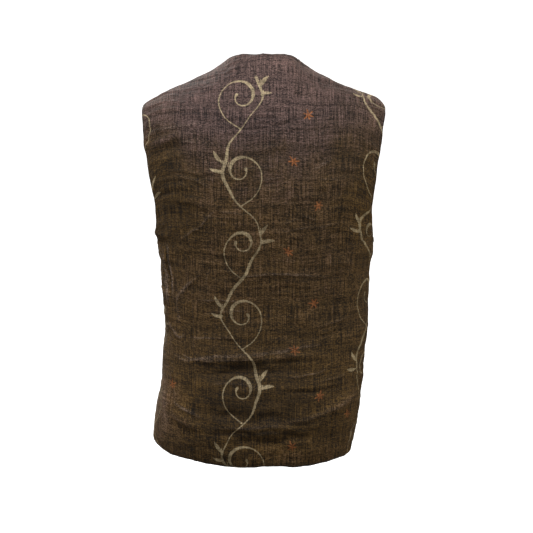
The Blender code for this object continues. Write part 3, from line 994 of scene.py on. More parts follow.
@dataclass
class Cloth:
    """One cut and sewn panel as a thin shell on the worn form."""

    name: str
    node: str
    face: Face
    start: Callable[[float], float]
    end: Callable[[float], float]
    start_seamed: Callable[[float], float]
    end_seamed: Callable[[float], float]
    motifs: Motifs
    seed: int
    flat: Pair
    area: float
    sewn_to: tuple[str, ...]
    over: bool = False
    column_step: float = 0.0022
    row_step: float = 0.0022
    thickness: float = 0.0011
    extra_shares: tuple[float, ...] = ()
    form: WornForm = field(default_factory=WornForm)
    wrap: Wrap = field(default_factory=Wrap)

    EDGE_LINES = (0.0, 0.0005, 0.0012, 0.0022)
    ARC = 0.17
    WARP, SHAKE = 0.006, 0.0016
    SOFT, CRINKLE, RIPPLE = 0.00110, 0.00050, 0.00085
    LARGE_LINES, SMALL_LINES = 0.00075, 0.00034

    def levels(self) -> Array:
        """The levels of the rows: even steps, and finer ones next to the hem and the shoulder.

        Returns:
            The levels, rising.
        """
        top = self.form.chest_top
        body = np.linspace(0, top, round(top / self.row_step) + 1)
        arcs = top + np.linspace(0, 1, round(self.ARC / self.row_step) + 1)
        fine_low = np.array(self.EDGE_LINES)
        fine_high = top + 1 - np.array(self.EDGE_LINES) / self.ARC
        return np.unique(np.round(np.concatenate([body, arcs, fine_low, fine_high]), 6))

    def shares(self) -> Array:
        """The shares of the panel's width at its columns, finer next to both edges.

        Returns:
            The shares, rising.
        """
        width = abs(self.end(0.2) - self.start(0.2))
        lines = np.array(self.EDGE_LINES) / width
        inner = np.linspace(0, 1, round(width / self.column_step) + 1)
        inner = inner[(inner > lines[-1] * 1.2) & (inner < 1 - lines[-1] * 1.2)]
        if self.extra_shares:
            low, high = min(self.extra_shares), max(self.extra_shares)
            gap = self.column_step / width / 2
            inner = inner[(inner < low - gap) | (inner > high + gap)]
        return np.unique(np.round(np.concatenate([lines, inner, self.extra_shares, 1 - lines]), 6))

    def angles(self, levels: Array, shares: Array) -> tuple[Array, Array]:
        """The angle and the signed girth of each grid point.

        Args:
            levels: the rows' levels.
            shares: the columns' shares.

        Returns:
            The angles and the girths.
        """
        angles = np.empty((len(levels), len(shares)))
        girths = np.empty_like(angles)
        cache: dict[float, tuple[Array, Array]] = {}
        for r, level in enumerate(levels):
            height = min(float(level), self.form.chest_top)
            if height not in cache:
                lengths, turned = self.form.girths(self.face, height)
                start, end = self.start(height), self.end(height)
                along = start + (end - start) * shares
                cache[height] = along, through(lengths, turned, along)
            girths[r], angles[r] = cache[height]
        return angles, girths

    def ridge_across(self, angle: Array) -> Array:
        """How far across the ridge the cloth ends that passes the chest at this angle.

        Args:
            angle: angles round the face, 0 in its middle.

        Returns:
            The place across, for each angle.
        """
        form, top = self.form, self.form.chest_top
        lengths, turned = form.girths(self.face, top)
        along = through(turned, lengths, angle)
        right, left = (form.side_length(self.face, side, top) for side in (-1, 1))
        if self.face is Face.BACK:
            seam_at = PANEL_SEAM.at(top)
            seams = [form.length_to(self.face, side * float(seam_at), top) for side in (-1, 1)]
            places = np.array([right, seams[0], 0.0, seams[1], left])
            results = np.array([-form.tip_across, -seam_at, 0.0, seam_at, form.tip_across])
            return through(places, results, along)
        side = 1 if self.start(top) > 0 else -1
        neckline = form.length_to(self.face, self.wrap.across(side, top), top)
        places = np.array([neckline, left if side > 0 else right])
        results = side * np.array([form.neck_across, form.tip_across])
        order = np.argsort(places)
        return through(places[order], results[order], along)

    def surface(self, angle: Array, level: Array) -> Array:
        """Points of the plain cloth.

        Args:
            angle: angles round the face, 0 in its middle.
            level: the points' levels.

        Returns:
            The points.
        """
        form, top = self.form, self.form.chest_top
        level = np.broadcast_to(level, angle.shape)
        points = form.ring(self.face, angle, np.minimum(level, top))
        upper = level > top
        if not upper.any():
            return points
        a, t = angle[upper], (level[upper] - top)[:, None]
        start = form.ring(self.face, a, np.full(a.shape, top))
        rising = start - form.ring(self.face, a, np.full(a.shape, top - form.step))
        rising /= np.linalg.norm(rising, axis=-1, keepdims=True)
        end = form.ridge(self.ridge_across(a))
        pull = form.arc_pull * np.linalg.norm(end - start, axis=-1, keepdims=True)
        drift = (end - start) * np.array([1, 0, 0])
        over = np.array([0, -self.face.value, form.over_rise])
        arriving = over / np.linalg.norm(over) * pull + drift
        points[upper] = hermite(start, rising * pull + drift, end, arriving, t)
        return points

    def outward(self, angle: Array, level: Array) -> Array:
        """Directions out of the plain cloth.

        Args:
            angle: angles round the face, 0 in its middle.
            level: the points' levels.

        Returns:
            The unit directions.
        """
        step = self.form.step
        top = self.form.chest_top + 1
        tall = self.surface(angle, np.minimum(top, level + step)) - self.surface(angle, level - step)
        wide = self.surface(angle + step, level) - self.surface(angle - step, level)
        out = self.face.value * np.cross(tall, wide)
        return out / np.linalg.norm(out, axis=-1, keepdims=True)

    def relief(
        self, points: Array, u: Array, v: Array, level: Array, edges: "Edges",
    ) -> tuple[Array, CreaseMarks]:
        """How the cloth departs from its plain form.

        Args:
            points: its plain points.
            u: their lengths round the body from the middle of the face.
            v: their lengths up the cloth from the hem.
            level: their levels.
            edges: their distances from the panel's edges.

        Returns:
            How far folds, crumples, seams and turned edges push it out, and the marks of its creases.
        """
        x, z = points[..., 0], points[..., 2]
        noise = Rumple(self.face.value + 5)
        wander = noise.layered(x / 0.030, z / 0.045, 2)
        top = self.form.chest_top
        room = ease(-0.004, 0.016, level) * (1 - ease(top, top + 0.5, level))
        folds = sum(fold.push(x, z, wander) for fold in FOLDS if fold.face is self.face) * room
        warp_u = u + self.WARP * noise.soft(u / 0.035, v / 0.035)
        warp_v = v + self.WARP * noise.soft(u / 0.035 + 40, v / 0.035)
        patchy = 0.65 + 0.55 * noise.soft(u / 0.075 + 21, v / 0.06)
        soft = self.SOFT * noise.layered(u / 0.050, v / 0.030, 2)
        crinkle = self.CRINKLE * noise.layered(warp_u / 0.021 + 5, warp_v / 0.010, 2) * patchy
        big = noise.creases(warp_u / 0.040, warp_v / 0.024, 0.15)
        small = noise.creases(warp_u / 0.020 + 5, warp_v / 0.012 + 3, 0.20)
        sign = np.tanh(2.5 * noise.soft(u / 0.05 + 11, v / 0.05))
        rippled = self.RIPPLE * (1 + 0.9 * ease(0.40, 0.52, z))
        ripple = rippled * noise.soft(warp_u / 0.080 + 30, warp_v / 0.0068) * patchy
        crumple = soft + crinkle + ripple + self.LARGE_LINES * big * sign + self.SMALL_LINES * small * patchy
        marks = CreaseMarks(np.zeros_like(x), np.full_like(x, 20.0), np.zeros_like(x))
        shaken = self.SHAKE * noise.soft(x / 0.016 + 9, z / 0.022)
        for crease in CREASES:
            if crease.face is self.face:
                crease.mark(x + shaken, z + shaken, marks)
        crumple = crumple + marks.push
        stand_off = 0.0
        if self.over:
            button = Button()
            crumple = crumple * ease(0.009, 0.024, np.hypot(x - button.across, z - button.height))
            stand_off = self.wrap.stand_off(points) * (1 + self.wrap.edge_spring * edges.free())
        push = folds + crumple * edges.calm() + edges.relief(x, u, v, noise) + stand_off
        return push, marks

    def seat(self, across: float, height: float) -> tuple[Vector, Vector]:
        """A place of the plain cloth under the chest, in the row's frame, and the direction out of it.

        Args:
            across: how far across the place is.
            height: the height over the hem.

        Returns:
            The place and the direction.
        """
        lengths, turned = self.form.girths(self.face, height)
        angle = through(lengths, turned, np.array([self.form.length_to(self.face, across, height)]))
        level = np.array([height])
        point = Vector(self.surface(angle, level)[0]) - Vector((0, 0, ORIGIN_HEIGHT))
        return point, Vector(self.outward(angle, level)[0])

    def build(self) -> bpy.types.Object:
        """Makes the shell as an object.

        Returns:
            The panel, with its cloth, print and edge values on its points.
        """
        levels, shares = self.levels(), self.shares()
        angle, girth = self.angles(levels, shares)
        level = np.repeat(levels[:, None], len(shares), axis=1)
        top = self.form.chest_top
        if self.face is Face.BACK:
            cut = self.form.neck_cut(self.ridge_across(angle))
            level = np.where(level > top, top + (level - top) * cut, level)
        plain = self.surface(angle, level)
        out = self.outward(angle, level)
        plain = plain + self.form.settled(plain)
        steps = np.linalg.norm(np.diff(plain, axis=0), axis=-1)
        v = np.concatenate([np.zeros((1, len(shares))), np.cumsum(steps, axis=0)])
        edges = Edges.of(self, plain, levels)
        push, marks = self.relief(plain, girth, v, level, edges)
        outer = plain + out * push[..., None]
        thick = self.thickness * (1 + 0.85 * edges.doubled())
        inner = outer - out * thick[..., None]
        mesh = shell_mesh(self.name, outer, inner, out)
        fields = {
            "cloth": np.stack([girth, v, np.full_like(v, self.seed)], axis=-1),
            **self.painted("tan", girth, v, self.scroll_strokes()),
            **self.painted("orange", girth, v, self.motifs.blooms),
            **self.painted_shading(plain),
            "edge": edges.nearest() * 1000,
            "relief": push * 1000,
            "crease_away": marks.away,
            "crease_wear_and_shade": marks.wear_and_painted_light,
            "height": plain[..., 2],
        }
        write_fields(mesh, fields, outer.shape[:2])
        return new_object(self.name, mesh)

    def scroll_strokes(self) -> list[Stroke]:
        """The strokes of the panel's scrolls."""
        art = ScrollPrint()
        return [s for u, low, high, sign in self.motifs.scrolls for s in art.scroll(u, low, high, sign)]

    def painted_shading(self, points: Array) -> dict[str, Array]:
        """The sums of the face's patches, partly faded dye and partly painted light, shade and sheen, as
        values for the shell's points.

        Args:
            points: the plain points.

        Returns:
            The values by name.
        """
        x, z = points[..., 0], points[..., 2]
        noise = Rumple(self.face.value + 9)
        x = x + 0.018 * noise.soft(x / 0.045, z / 0.045)
        z = z + 0.018 * noise.soft(x / 0.045 + 7, z / 0.045)
        shares = [(patch, patch.share(x, z)) for patch in FADE_AND_SHADE_PATCHES if patch.face is self.face]
        return {
            "fade_and_painted_light": sum(patch.light * share for patch, share in shares),
            "fade_and_painted_sheen": sum(patch.grey * share for patch, share in shares),
        }

    @staticmethod
    def painted(paint: str, u: Array, v: Array, marks: Iterable[Stroke | Bloom]) -> dict[str, Array]:
        """Measures a grid against painted marks.

        Args:
            paint: the paint's name, which starts the values' names.
            u: places across.
            v: places up.
            marks: the strokes or blossoms.

        Returns:
            The millimetres outside the nearest mark, at most 20, and the way from its middle.
        """
        best = np.full(u.shape, 20.0)
        ways = np.zeros(u.shape + (3,))
        ways[..., 0] = 20.0
        for mark in marks:
            near = mark.near(u, v)
            away, way = mark.nearness(u[near], v[near])
            kept = away < best[near]
            closer = near.copy()
            closer[near] = kept
            best[closer], ways[closer] = away[kept], way[kept]
        return {paint + "_away": best, paint + "_way": ways}


@dataclass
class Edges:
    """Distances of a panel's points from its edges, and how far each edge is a seam there."""

    start: Array
    end: Array
    hem: Array
    top: Array
    start_seam: Array
    end_seam: Array
    top_seam: Array
    start_side: float
    end_side: float

    FAR = 0.1
    CALM_WIDTH = 0.014
    SPRING_WIDTH = 0.006
    SINK, SINK_WIDTH = 0.0011, 0.0014
    PUCKER, PUCKER_LENGTH = 0.00045, 0.0085
    ROLL, ROLL_WIDTH = 0.0013, 0.0018
    WAVE, WAVE_LENGTH, WAVE_WIDTH = 0.0009, 0.024, 0.012
    HEM_ROLL, HEM_ROLL_WIDTH = 0.0034, 0.0036
    HEM_WAVE, HEM_WAVE_LENGTH, HEM_WAVE_WIDTH = 0.0016, 0.030, 0.020

    @classmethod
    def of(cls, cloth: Cloth, plain: Array, levels: Array) -> "Edges":
        """Measures a panel's grid.

        Args:
            cloth: the panel.
            plain: its plain points.
            levels: its rows' levels.

        Returns:
            The distances, in metres along the cloth, and the seam shares.
        """
        wide = np.linalg.norm(np.diff(plain, axis=1), axis=-1)
        zero = np.zeros((len(levels), 1))
        start = np.concatenate([zero, np.cumsum(wide, axis=1)], axis=1)
        tall = np.linalg.norm(np.diff(plain, axis=0), axis=-1)
        zero = np.zeros((1, plain.shape[1]))
        hem = np.concatenate([zero, np.cumsum(tall, axis=0)], axis=0)
        start_seam = np.array([cloth.start_seamed(level) for level in levels])[:, None]
        end_seam = np.array([cloth.end_seamed(level) for level in levels])[:, None]
        across = np.abs(plain[-1, :, 0])[None, :]
        in_neck = across < cloth.form.neck_across - 0.0008
        top_seam = np.where(in_neck & (cloth.face is Face.BACK), 0.0, 1.0)
        shape = np.ones(plain.shape[:2])
        return cls(
            start, start[:, -1:] - start, hem, hem[-1:] - hem,
            start_seam * shape, end_seam * shape, top_seam * shape,
            float(start_seam[-1, 0] < 0.5 < start_seam[0, 0]), float(end_seam[-1, 0] < 0.5 < end_seam[0, 0]),
        )

    def nearest(self) -> Array:
        """The distance to the nearest turned edge.

        Returns:
            The distance of each point.
        """
        return np.minimum.reduce([
            self.hem,
            self.start + self.FAR * self.start_seam,
            self.end + self.FAR * self.end_seam,
            self.top + self.FAR * self.top_seam,
        ])

    def free(self) -> Array:
        """1 on a free edge at either side, which springs a little clear of what it lies on, 0 inside."""
        away = np.minimum(self.start + self.FAR * self.start_seam, self.end + self.FAR * self.end_seam)
        return bell(away, self.SPRING_WIDTH)

    def doubled(self) -> Array:
        """1 on the doubled cloth of the hem, the turned edges and the seam allowances, 0 elsewhere.

        Returns:
            The share at each point.
        """
        seams = ((self.start, self.start_seam), (self.end, self.end_seam), (self.top, self.top_seam))
        bands = [(self.hem, HEM_TURN)]
        bands += [(away, EDGE_TURN + (SEAM_ALLOWANCE - EDGE_TURN) * seam) for away, seam in seams]
        return np.maximum.reduce([1 - ease(-0.0012, 0.0012, away - width) for away, width in bands])

    def calm(self) -> Array:
        """0 on the side and shoulder seams, where two faces meet, and 1 away from them.

        Returns:
            The share at each point.
        """
        away = np.minimum.reduce([
            self.start + self.FAR * (1 - self.start_side),
            self.end + self.FAR * (1 - self.end_side),
            self.top + self.FAR * (1 - self.top_seam),
        ])
        return ease(0.0, self.CALM_WIDTH, away)

    def relief(self, x: Array, u: Array, v: Array, noise: Rumple) -> Array:
        """The seams' sunk lines and puckers, and the turned edges' roll and waviness.

        Args:
            x: places across.
            u: lengths round the body.
            v: lengths up the cloth.
            noise: the face's noise.

        Returns:
            The push at each point.
        """
        total = np.zeros_like(self.start)
        for away, seam, along in (
            (self.start, self.start_seam, v),
            (self.end, self.end_seam, v),
            (self.top, self.top_seam, x),
        ):
            near = bell(away, self.WAVE_WIDTH)
            sunk = -self.SINK * bell(away, self.SINK_WIDTH)
            pucker = self.PUCKER * noise.soft(along / self.PUCKER_LENGTH + 3, away / 0.02) * near
            total += seam * (sunk + pucker)
            rolled = -self.ROLL * bell(away, self.ROLL_WIDTH)
            wave = self.WAVE * noise.layered(along / self.WAVE_LENGTH + 8, away / 0.05, 2) * near
            total += (1 - seam) * (rolled + wave)
        rolled = -self.HEM_ROLL * bell(self.hem, self.HEM_ROLL_WIDTH)
        wave = self.HEM_WAVE * noise.layered(u / self.HEM_WAVE_LENGTH + 5, v / 0.06, 2)
        wave = wave * bell(self.hem, self.HEM_WAVE_WIDTH)
        return total + rolled + wave


PANEL_SEAM = Profile(((0.000, 0.108), (0.200, 0.113), (0.360, 0.119), (0.520, 0.1325)))


def shell_mesh(name: str, outer: Array, inner: Array, out: Array) -> bpy.types.Mesh:
    """A closed shell of two grids with a rounded rim.

    Args:
        name: the mesh's name.
        outer: the outer grid's points.
        inner: the inner grid's points.
        out: the directions out of the cloth.

    Returns:
        The mesh: outer points first, then inner ones, then the rim's middle line.
    """
    rows, columns = outer.shape[:2]
    border = [(0, c) for c in range(columns)]
    border += [(r, columns - 1) for r in range(1, rows)]
    border += [(rows - 1, c) for c in range(columns - 2, -1, -1)]
    border += [(r, 0) for r in range(rows - 2, 0, -1)]
    r, c = np.array(border).T
    middle = (outer[r, c] + inner[r, c]) / 2
    ahead, behind = np.roll(middle, -1, axis=0), np.roll(middle, 1, axis=0)
    away = np.cross(ahead - behind, out[r, c])
    away /= np.linalg.norm(away, axis=-1, keepdims=True)
    centre = outer[rows // 2, columns // 2]
    if ((away * (middle - centre)).sum(axis=-1) < 0).mean() > 0.5:
        away = -away
    half = np.linalg.norm(outer[r, c] - inner[r, c], axis=-1, keepdims=True) / 2
    middle = middle + away * half * 0.8
    grid = np.arange(rows * columns).reshape(rows, columns)
    a, b = grid[:-1, :-1].ravel(), grid[:-1, 1:].ravel()
    d, e = grid[1:, 1:].ravel(), grid[1:, :-1].ravel()
    count = rows * columns
    front_quads = np.stack([a, b, d, e], axis=-1)
    back_quads = np.stack([e, d, b, a], axis=-1) + count
    rim_outer = grid[r, c]
    rim_inner = rim_outer + count
    rim_middle = np.arange(len(border)) + 2 * count
    following = np.roll(np.arange(len(border)), -1)
    first = np.stack([rim_outer[following], rim_outer, rim_middle, rim_middle[following]], axis=-1)
    second = np.stack([rim_middle[following], rim_middle, rim_inner, rim_inner[following]], axis=-1)
    points = np.concatenate([outer.reshape(-1, 3), inner.reshape(-1, 3), middle])
    points[:, 2] -= ORIGIN_HEIGHT
    faces = np.concatenate([front_quads, back_quads, first, second])
    mesh = bpy.data.meshes.new(name)
    mesh.vertices.add(len(points))
    mesh.vertices.foreach_set("co", points.ravel())
    mesh.loops.add(faces.size)
    mesh.loops.foreach_set("vertex_index", faces.ravel())
    mesh.polygons.add(len(faces))
    mesh.polygons.foreach_set("loop_start", np.arange(len(faces)) * 4)
    mesh.update(calc_edges=True)
    mesh.validate()
    work = bmesh.new()
    work.from_mesh(mesh)
    bmesh.ops.recalc_face_normals(work, faces=work.faces)
    if work.calc_volume(signed=True) < 0:
        bmesh.ops.reverse_faces(work, faces=work.faces)
    work.to_mesh(mesh)
    work.free()
    mesh.shade_smooth()
    wrong = np.zeros(len(points), np.float32)
    wrong[count:2 * count] = 1.0
    mesh.attributes.new("wrong_side", "FLOAT", "POINT").data.foreach_set("value", wrong)
    mesh["rim"] = [int(i) for i in rim_outer]
    return mesh


def write_fields(mesh: bpy.types.Mesh, fields: dict[str, Array], shape: tuple[int, int]) -> None:
    """Stores values of a grid on the shell's points, the same on both of its sides.

    Args:
        mesh: the shell.
        fields: a grid of values for each name.
        shape: the grid's rows and columns.
    """
    count = shape[0] * shape[1]
    rim = np.array(mesh["rim"])
    for name, values in fields.items():
        flat = values.reshape(count, -1).astype(np.float32)
        whole = np.concatenate([flat, flat, flat[rim]])
        kind, key = ("FLOAT_VECTOR", "vector") if flat.shape[1] == 3 else ("FLOAT", "value")
        mesh.attributes.new(name, kind, "POINT").data.foreach_set(key, whole.ravel())
    del mesh["rim"]


def new_object(name: str, data: bpy.types.ID) -> bpy.types.Object:
    """An object of a mesh, camera or light, linked to the scene.

    Args:
        name: its name.
        data: its mesh, camera or light.

    Returns:
        The object.
    """
    obj = bpy.data.objects.new(name, data)
    bpy.context.scene.collection.objects.link(obj)
    return obj


class Wiring:
    """Short ways to add and join the nodes of one tree."""

    def __init__(self, tree: bpy.types.NodeTree) -> None:
        """Takes a tree.

        Args:
            tree: a material's tree or a group.
        """
        self.tree = tree

    def add(self, kind: str, **settings: object) -> bpy.types.Node:
        """A new node with its settings.

        Args:
            kind: the node's type.
            **settings: its settings by name.

        Returns:
            The node.
        """
        node = self.tree.nodes.new(kind)
        for key, value in settings.items():
            setattr(node, key, value)
        return node

    def put(self, value: object, socket: bpy.types.NodeSocket) -> None:
        """Links an output to a socket, or sets a constant on it.

        Args:
            value: an output's socket or a constant.
            socket: the input.
        """
        if isinstance(value, Socket):
            self.tree.links.new(value, socket)
        else:
            socket.default_value = value

    def math(self, operation: str, *values: object) -> Socket:
        """The output of a Math node.

        Args:
            operation: what the node does.
            *values: what it takes.

        Returns:
            The output's socket.
        """
        node = self.add("ShaderNodeMath", operation=operation)
        for value, socket in zip(values, node.inputs):
            self.put(value, socket)
        return node.outputs[0]

    def total(self, *values: object) -> Socket:
        """The sum of several values.

        Args:
            *values: what is added up.

        Returns:
            The output's socket.
        """
        result = values[0]
        for value in values[1:]:
            result = self.math("ADD", result, value)
        return result

    def times(self, *values: object) -> Socket:
        """The product of several values.

        Args:
            *values: what is multiplied.

        Returns:
            The output's socket.
        """
        result = values[0]
        for value in values[1:]:
            result = self.math("MULTIPLY", result, value)
        return result

    def minus(self, first: object, second: object) -> Socket:
        """The first value less the second."""
        return self.math("SUBTRACT", first, second)

    def weighted(self, *pairs: tuple[object, float]) -> Socket:
        """The sum of values, each times its weight."""
        return self.total(*[self.times(value, weight) for value, weight in pairs])

    def feed(self, node: bpy.types.Node, **values: object) -> None:
        """Gives values to a node's inputs, with _ for a space in their names."""
        for key, value in values.items():
            self.put(value, node.inputs[key.replace("_", " ")])

    def ramp(self, value: object, low: float, high: float, start: float = 0, end: float = 1) -> Socket:
        """A smooth step from start below low to end above high.

        Args:
            value: what is mapped.
            low: where the step starts.
            high: where it ends.
            start: the result at low.
            end: the result at high.

        Returns:
            The output's socket.
        """
        node = self.add("ShaderNodeMapRange", interpolation_type="SMOOTHSTEP")
        for item, socket in zip((value, low, high, start, end), node.inputs):
            self.put(item, socket)
        return node.outputs[0]

    def mix(self, share: object, first: object, second: object) -> Socket:
        """A colour between two.

        Args:
            share: how much of the second.
            first: a colour.
            second: a colour.

        Returns:
            The output's socket.
        """
        node = self.add("ShaderNodeMix", data_type="RGBA")
        self.put(share, node.inputs["Factor"])
        for value, socket in ((first, node.inputs[6]), (second, node.inputs[7])):
            self.put(value, socket)
        return node.outputs[2]

    def tinted(self, colour: object, shade: object) -> Socket:
        """A colour made lighter or darker by a factor.

        Args:
            colour: the colour.
            shade: the factor.

        Returns:
            The output's socket.
        """
        node = self.add("ShaderNodeVectorMath", operation="SCALE")
        self.put(colour if isinstance(colour, Socket) else colour[:3], node.inputs[0])
        self.put(shade, node.inputs["Scale"])
        return node.outputs[0]

    def attribute(self, name: str, output: str = "Fac") -> Socket:
        """A value that the mesh carries on its points."""
        return self.add("ShaderNodeAttribute", attribute_name=name).outputs[output]

    def stretched(self, place: object, cell: Pair, shift: float) -> Socket:
        """Places on the cloth's plane measured in cells of the given width and height.

        Args:
            place: places on the cloth's plane, in metres.
            cell: a cell's width and height.
            shift: moves the pattern.

        Returns:
            The output's socket.
        """
        node = self.add("ShaderNodeMapping")
        self.put(place, node.inputs["Vector"])
        node.inputs["Scale"].default_value = (1 / cell[0], 1 / cell[1], 1.0)
        node.inputs["Location"].default_value = (shift, shift * 0.7, shift)
        return node.outputs[0]

    def noise(self, place: object, cell: Pair, shift: float, detail: float = 1) -> Socket:
        """Soft noise from 0 to 1 in cells of the given width and height.

        Args:
            place: places on the cloth's plane, in metres.
            cell: a cell's width and height.
            shift: moves the pattern.
            detail: how many finer layers it has.

        Returns:
            The output's socket.
        """
        node = self.add("ShaderNodeTexNoise")
        self.put(self.stretched(place, cell, shift), node.inputs["Vector"])
        node.inputs["Scale"].default_value = 1.0
        node.inputs["Detail"].default_value = detail
        return node.outputs["Fac"]

    def specks(self, place: object, cell: float, radius: float, shift: float) -> Socket:
        """1 on small round specks, about one to a cell.

        Args:
            place: places on the cloth's plane, in metres.
            cell: a cell's size.
            radius: the specks' radius.
            shift: moves the pattern.

        Returns:
            The output's socket.
        """
        node = self.add("ShaderNodeTexVoronoi")
        self.put(self.stretched(place, (cell, cell), shift), node.inputs["Vector"])
        node.inputs["Scale"].default_value = 1.0
        return self.ramp(node.outputs["Distance"], radius / cell * 0.5, radius / cell, 1, 0)

    def bump(self, height: object, distance: float, strength: float = 1.0) -> Socket:
        """A normal from a height.

        Args:
            height: the height.
            distance: how far a height of 1 stands out.
            strength: how much of it counts.

        Returns:
            The output's socket.
        """
        node = self.add("ShaderNodeBump")
        node.inputs["Strength"].default_value = strength
        node.inputs["Distance"].default_value = distance
        self.put(height, node.inputs["Height"])
        return node.outputs[0]


def new_group(name: str, inputs: dict[str, str], outputs: dict[str, str]) -> tuple[Wiring, dict, dict]:
    """An empty shader node group.

    Args:
        name: the group's name.
        inputs: the kind of each input by its name.
        outputs: the kind of each output by its name.

    Returns:
        Its wiring, its inputs' sockets and its outputs' sockets, by name.
    """
    tree = bpy.data.node_groups.new(name, "ShaderNodeTree")
    for key, kind in inputs.items():
        tree.interface.new_socket(key, in_out="INPUT", socket_type="NodeSocket" + kind)
    for key, kind in outputs.items():
        tree.interface.new_socket(key, in_out="OUTPUT", socket_type="NodeSocket" + kind)
    start, end = tree.nodes.new("NodeGroupInput"), tree.nodes.new("NodeGroupOutput")
    return Wiring(tree), dict(start.outputs.items()), dict(end.inputs.items())


def place_group(wiring: Wiring, group: bpy.types.NodeTree, **values: object) -> dict:
    """A group in a material.

    Args:
        wiring: the material's wiring.
        group: the group.
        **values: what its inputs take, with _ for a space in their names.

    Returns:
        Its outputs by name.
    """
    node = wiring.add("ShaderNodeGroup")
    node.node_tree = group
    wiring.feed(node, **values)
    return dict(node.outputs.items())


@dataclass(frozen=True)
class SlubbyWeave:
    """Plain weave of uneven handspun yarn, in metres on the cloth's plane."""

    yarn: float = 0.00088
    fine_streak: Pair = (0.0012, 0.040)
    broad_streak: Pair = (0.0036, 0.120)
    band: Pair = (0.017, 0.400)
    fine_weft: Pair = (0.0048, 0.0012)
    broad_weft: Pair = (0.110, 0.0032)
    speck: Pair = (0.0013, 0.0013)
    slub: Pair = (0.0065, 0.0014)
    warp_slub: Pair = (0.0015, 0.017)
    cloud: Pair = (0.026, 0.022)
    crinkle: Pair = (0.0075, 0.0042)
    nep_cell: float = 0.012
    nep_radius: float = 0.0010

    def group(self) -> bpy.types.NodeTree:
        """The weave as a group, with Contrast for how uneven the yarns' dye is.

        Returns:
            The group.
        """
        wiring, given, put_out = new_group(
            "slubby_weave",
            {"Cloth": "Vector", "Contrast": "Float"},
            {"Shade": "Float", "Yarn": "Float", "Slubs": "Float", "Height": "Float"},
        )
        place = given["Cloth"]
        fine = wiring.noise(place, self.fine_streak, 3.1, 2)
        broad = wiring.noise(place, self.broad_streak, 8.3, 2)
        bands = wiring.noise(place, self.band, 1.7, 1)
        weft = wiring.noise(place, self.fine_weft, 5.9, 2)
        wefts = wiring.noise(place, self.broad_weft, 2.3, 2)
        clouds = wiring.noise(place, self.cloud, 6.1, 3)
        crinkles = wiring.noise(place, self.crinkle, 3.9, 2)
        specks = wiring.noise(place, self.speck, 5.2)
        slubs = wiring.ramp(wiring.noise(place, self.slub, 4.7), 0.650, 0.715)
        stood = wiring.ramp(wiring.noise(place, self.warp_slub, 9.2), 0.65, 0.74)
        neps = wiring.specks(place, self.nep_cell, self.nep_radius, 7.4)
        uneven = [
            wiring.times(wiring.minus(source, 0.5), weight)
            for source, weight in (
                (fine, 4.4), (broad, 0.7), (bands, 0.4), (weft, 4.4), (wefts, 1.9), (clouds, 0.9),
                (specks, 3.8),
            )
        ]
        dark = wiring.weighted((slubs, 1.35), (neps, 1.4), (stood, -0.35))
        spread = wiring.times(wiring.minus(wiring.total(*uneven), dark), given["Contrast"])
        shade = wiring.math("MAXIMUM", wiring.total(spread, 1.0), 0.16)
        parts = wiring.add("ShaderNodeSeparateXYZ")
        wiring.put(place, parts.inputs[0])
        waves = [
            wiring.math("SINE", wiring.total(wiring.times(axis, math.pi / self.yarn), lean))
            for axis, lean in (
                (parts.outputs[0], wiring.times(broad, 5.0)),
                (parts.outputs[1], wiring.times(wefts, 5.0)),
            )
        ]
        weave = wiring.times(waves[0], waves[1])
        height = wiring.weighted(
            (weave, 0.22), (fine, 0.8), (weft, 0.8), (slubs, 0.40), (stood, 0.40), (neps, 0.5),
            (crinkles, 2.8),
        )
        hues = wiring.total(
            wiring.noise(place, self.broad_streak, 12.5, 2), wiring.noise(place, self.fine_weft, 15.1, 2),
            wiring.noise(place, self.cloud, 18.3, 2),
        )
        wiring.put(shade, put_out["Shade"])
        wiring.put(wiring.minus(wiring.times(hues, 2.0), 3.0), put_out["Yarn"])
        wiring.put(wiring.total(slubs, neps), put_out["Slubs"])
        wiring.put(height, put_out["Height"])
        return wiring.tree


class Mark(Enum):
    """What a brush leaves: a long stroke, or a small open blossom. The value names its node group."""

    STROKE = "brushed_stroke"
    BLOSSOM = "brushed_blossom"


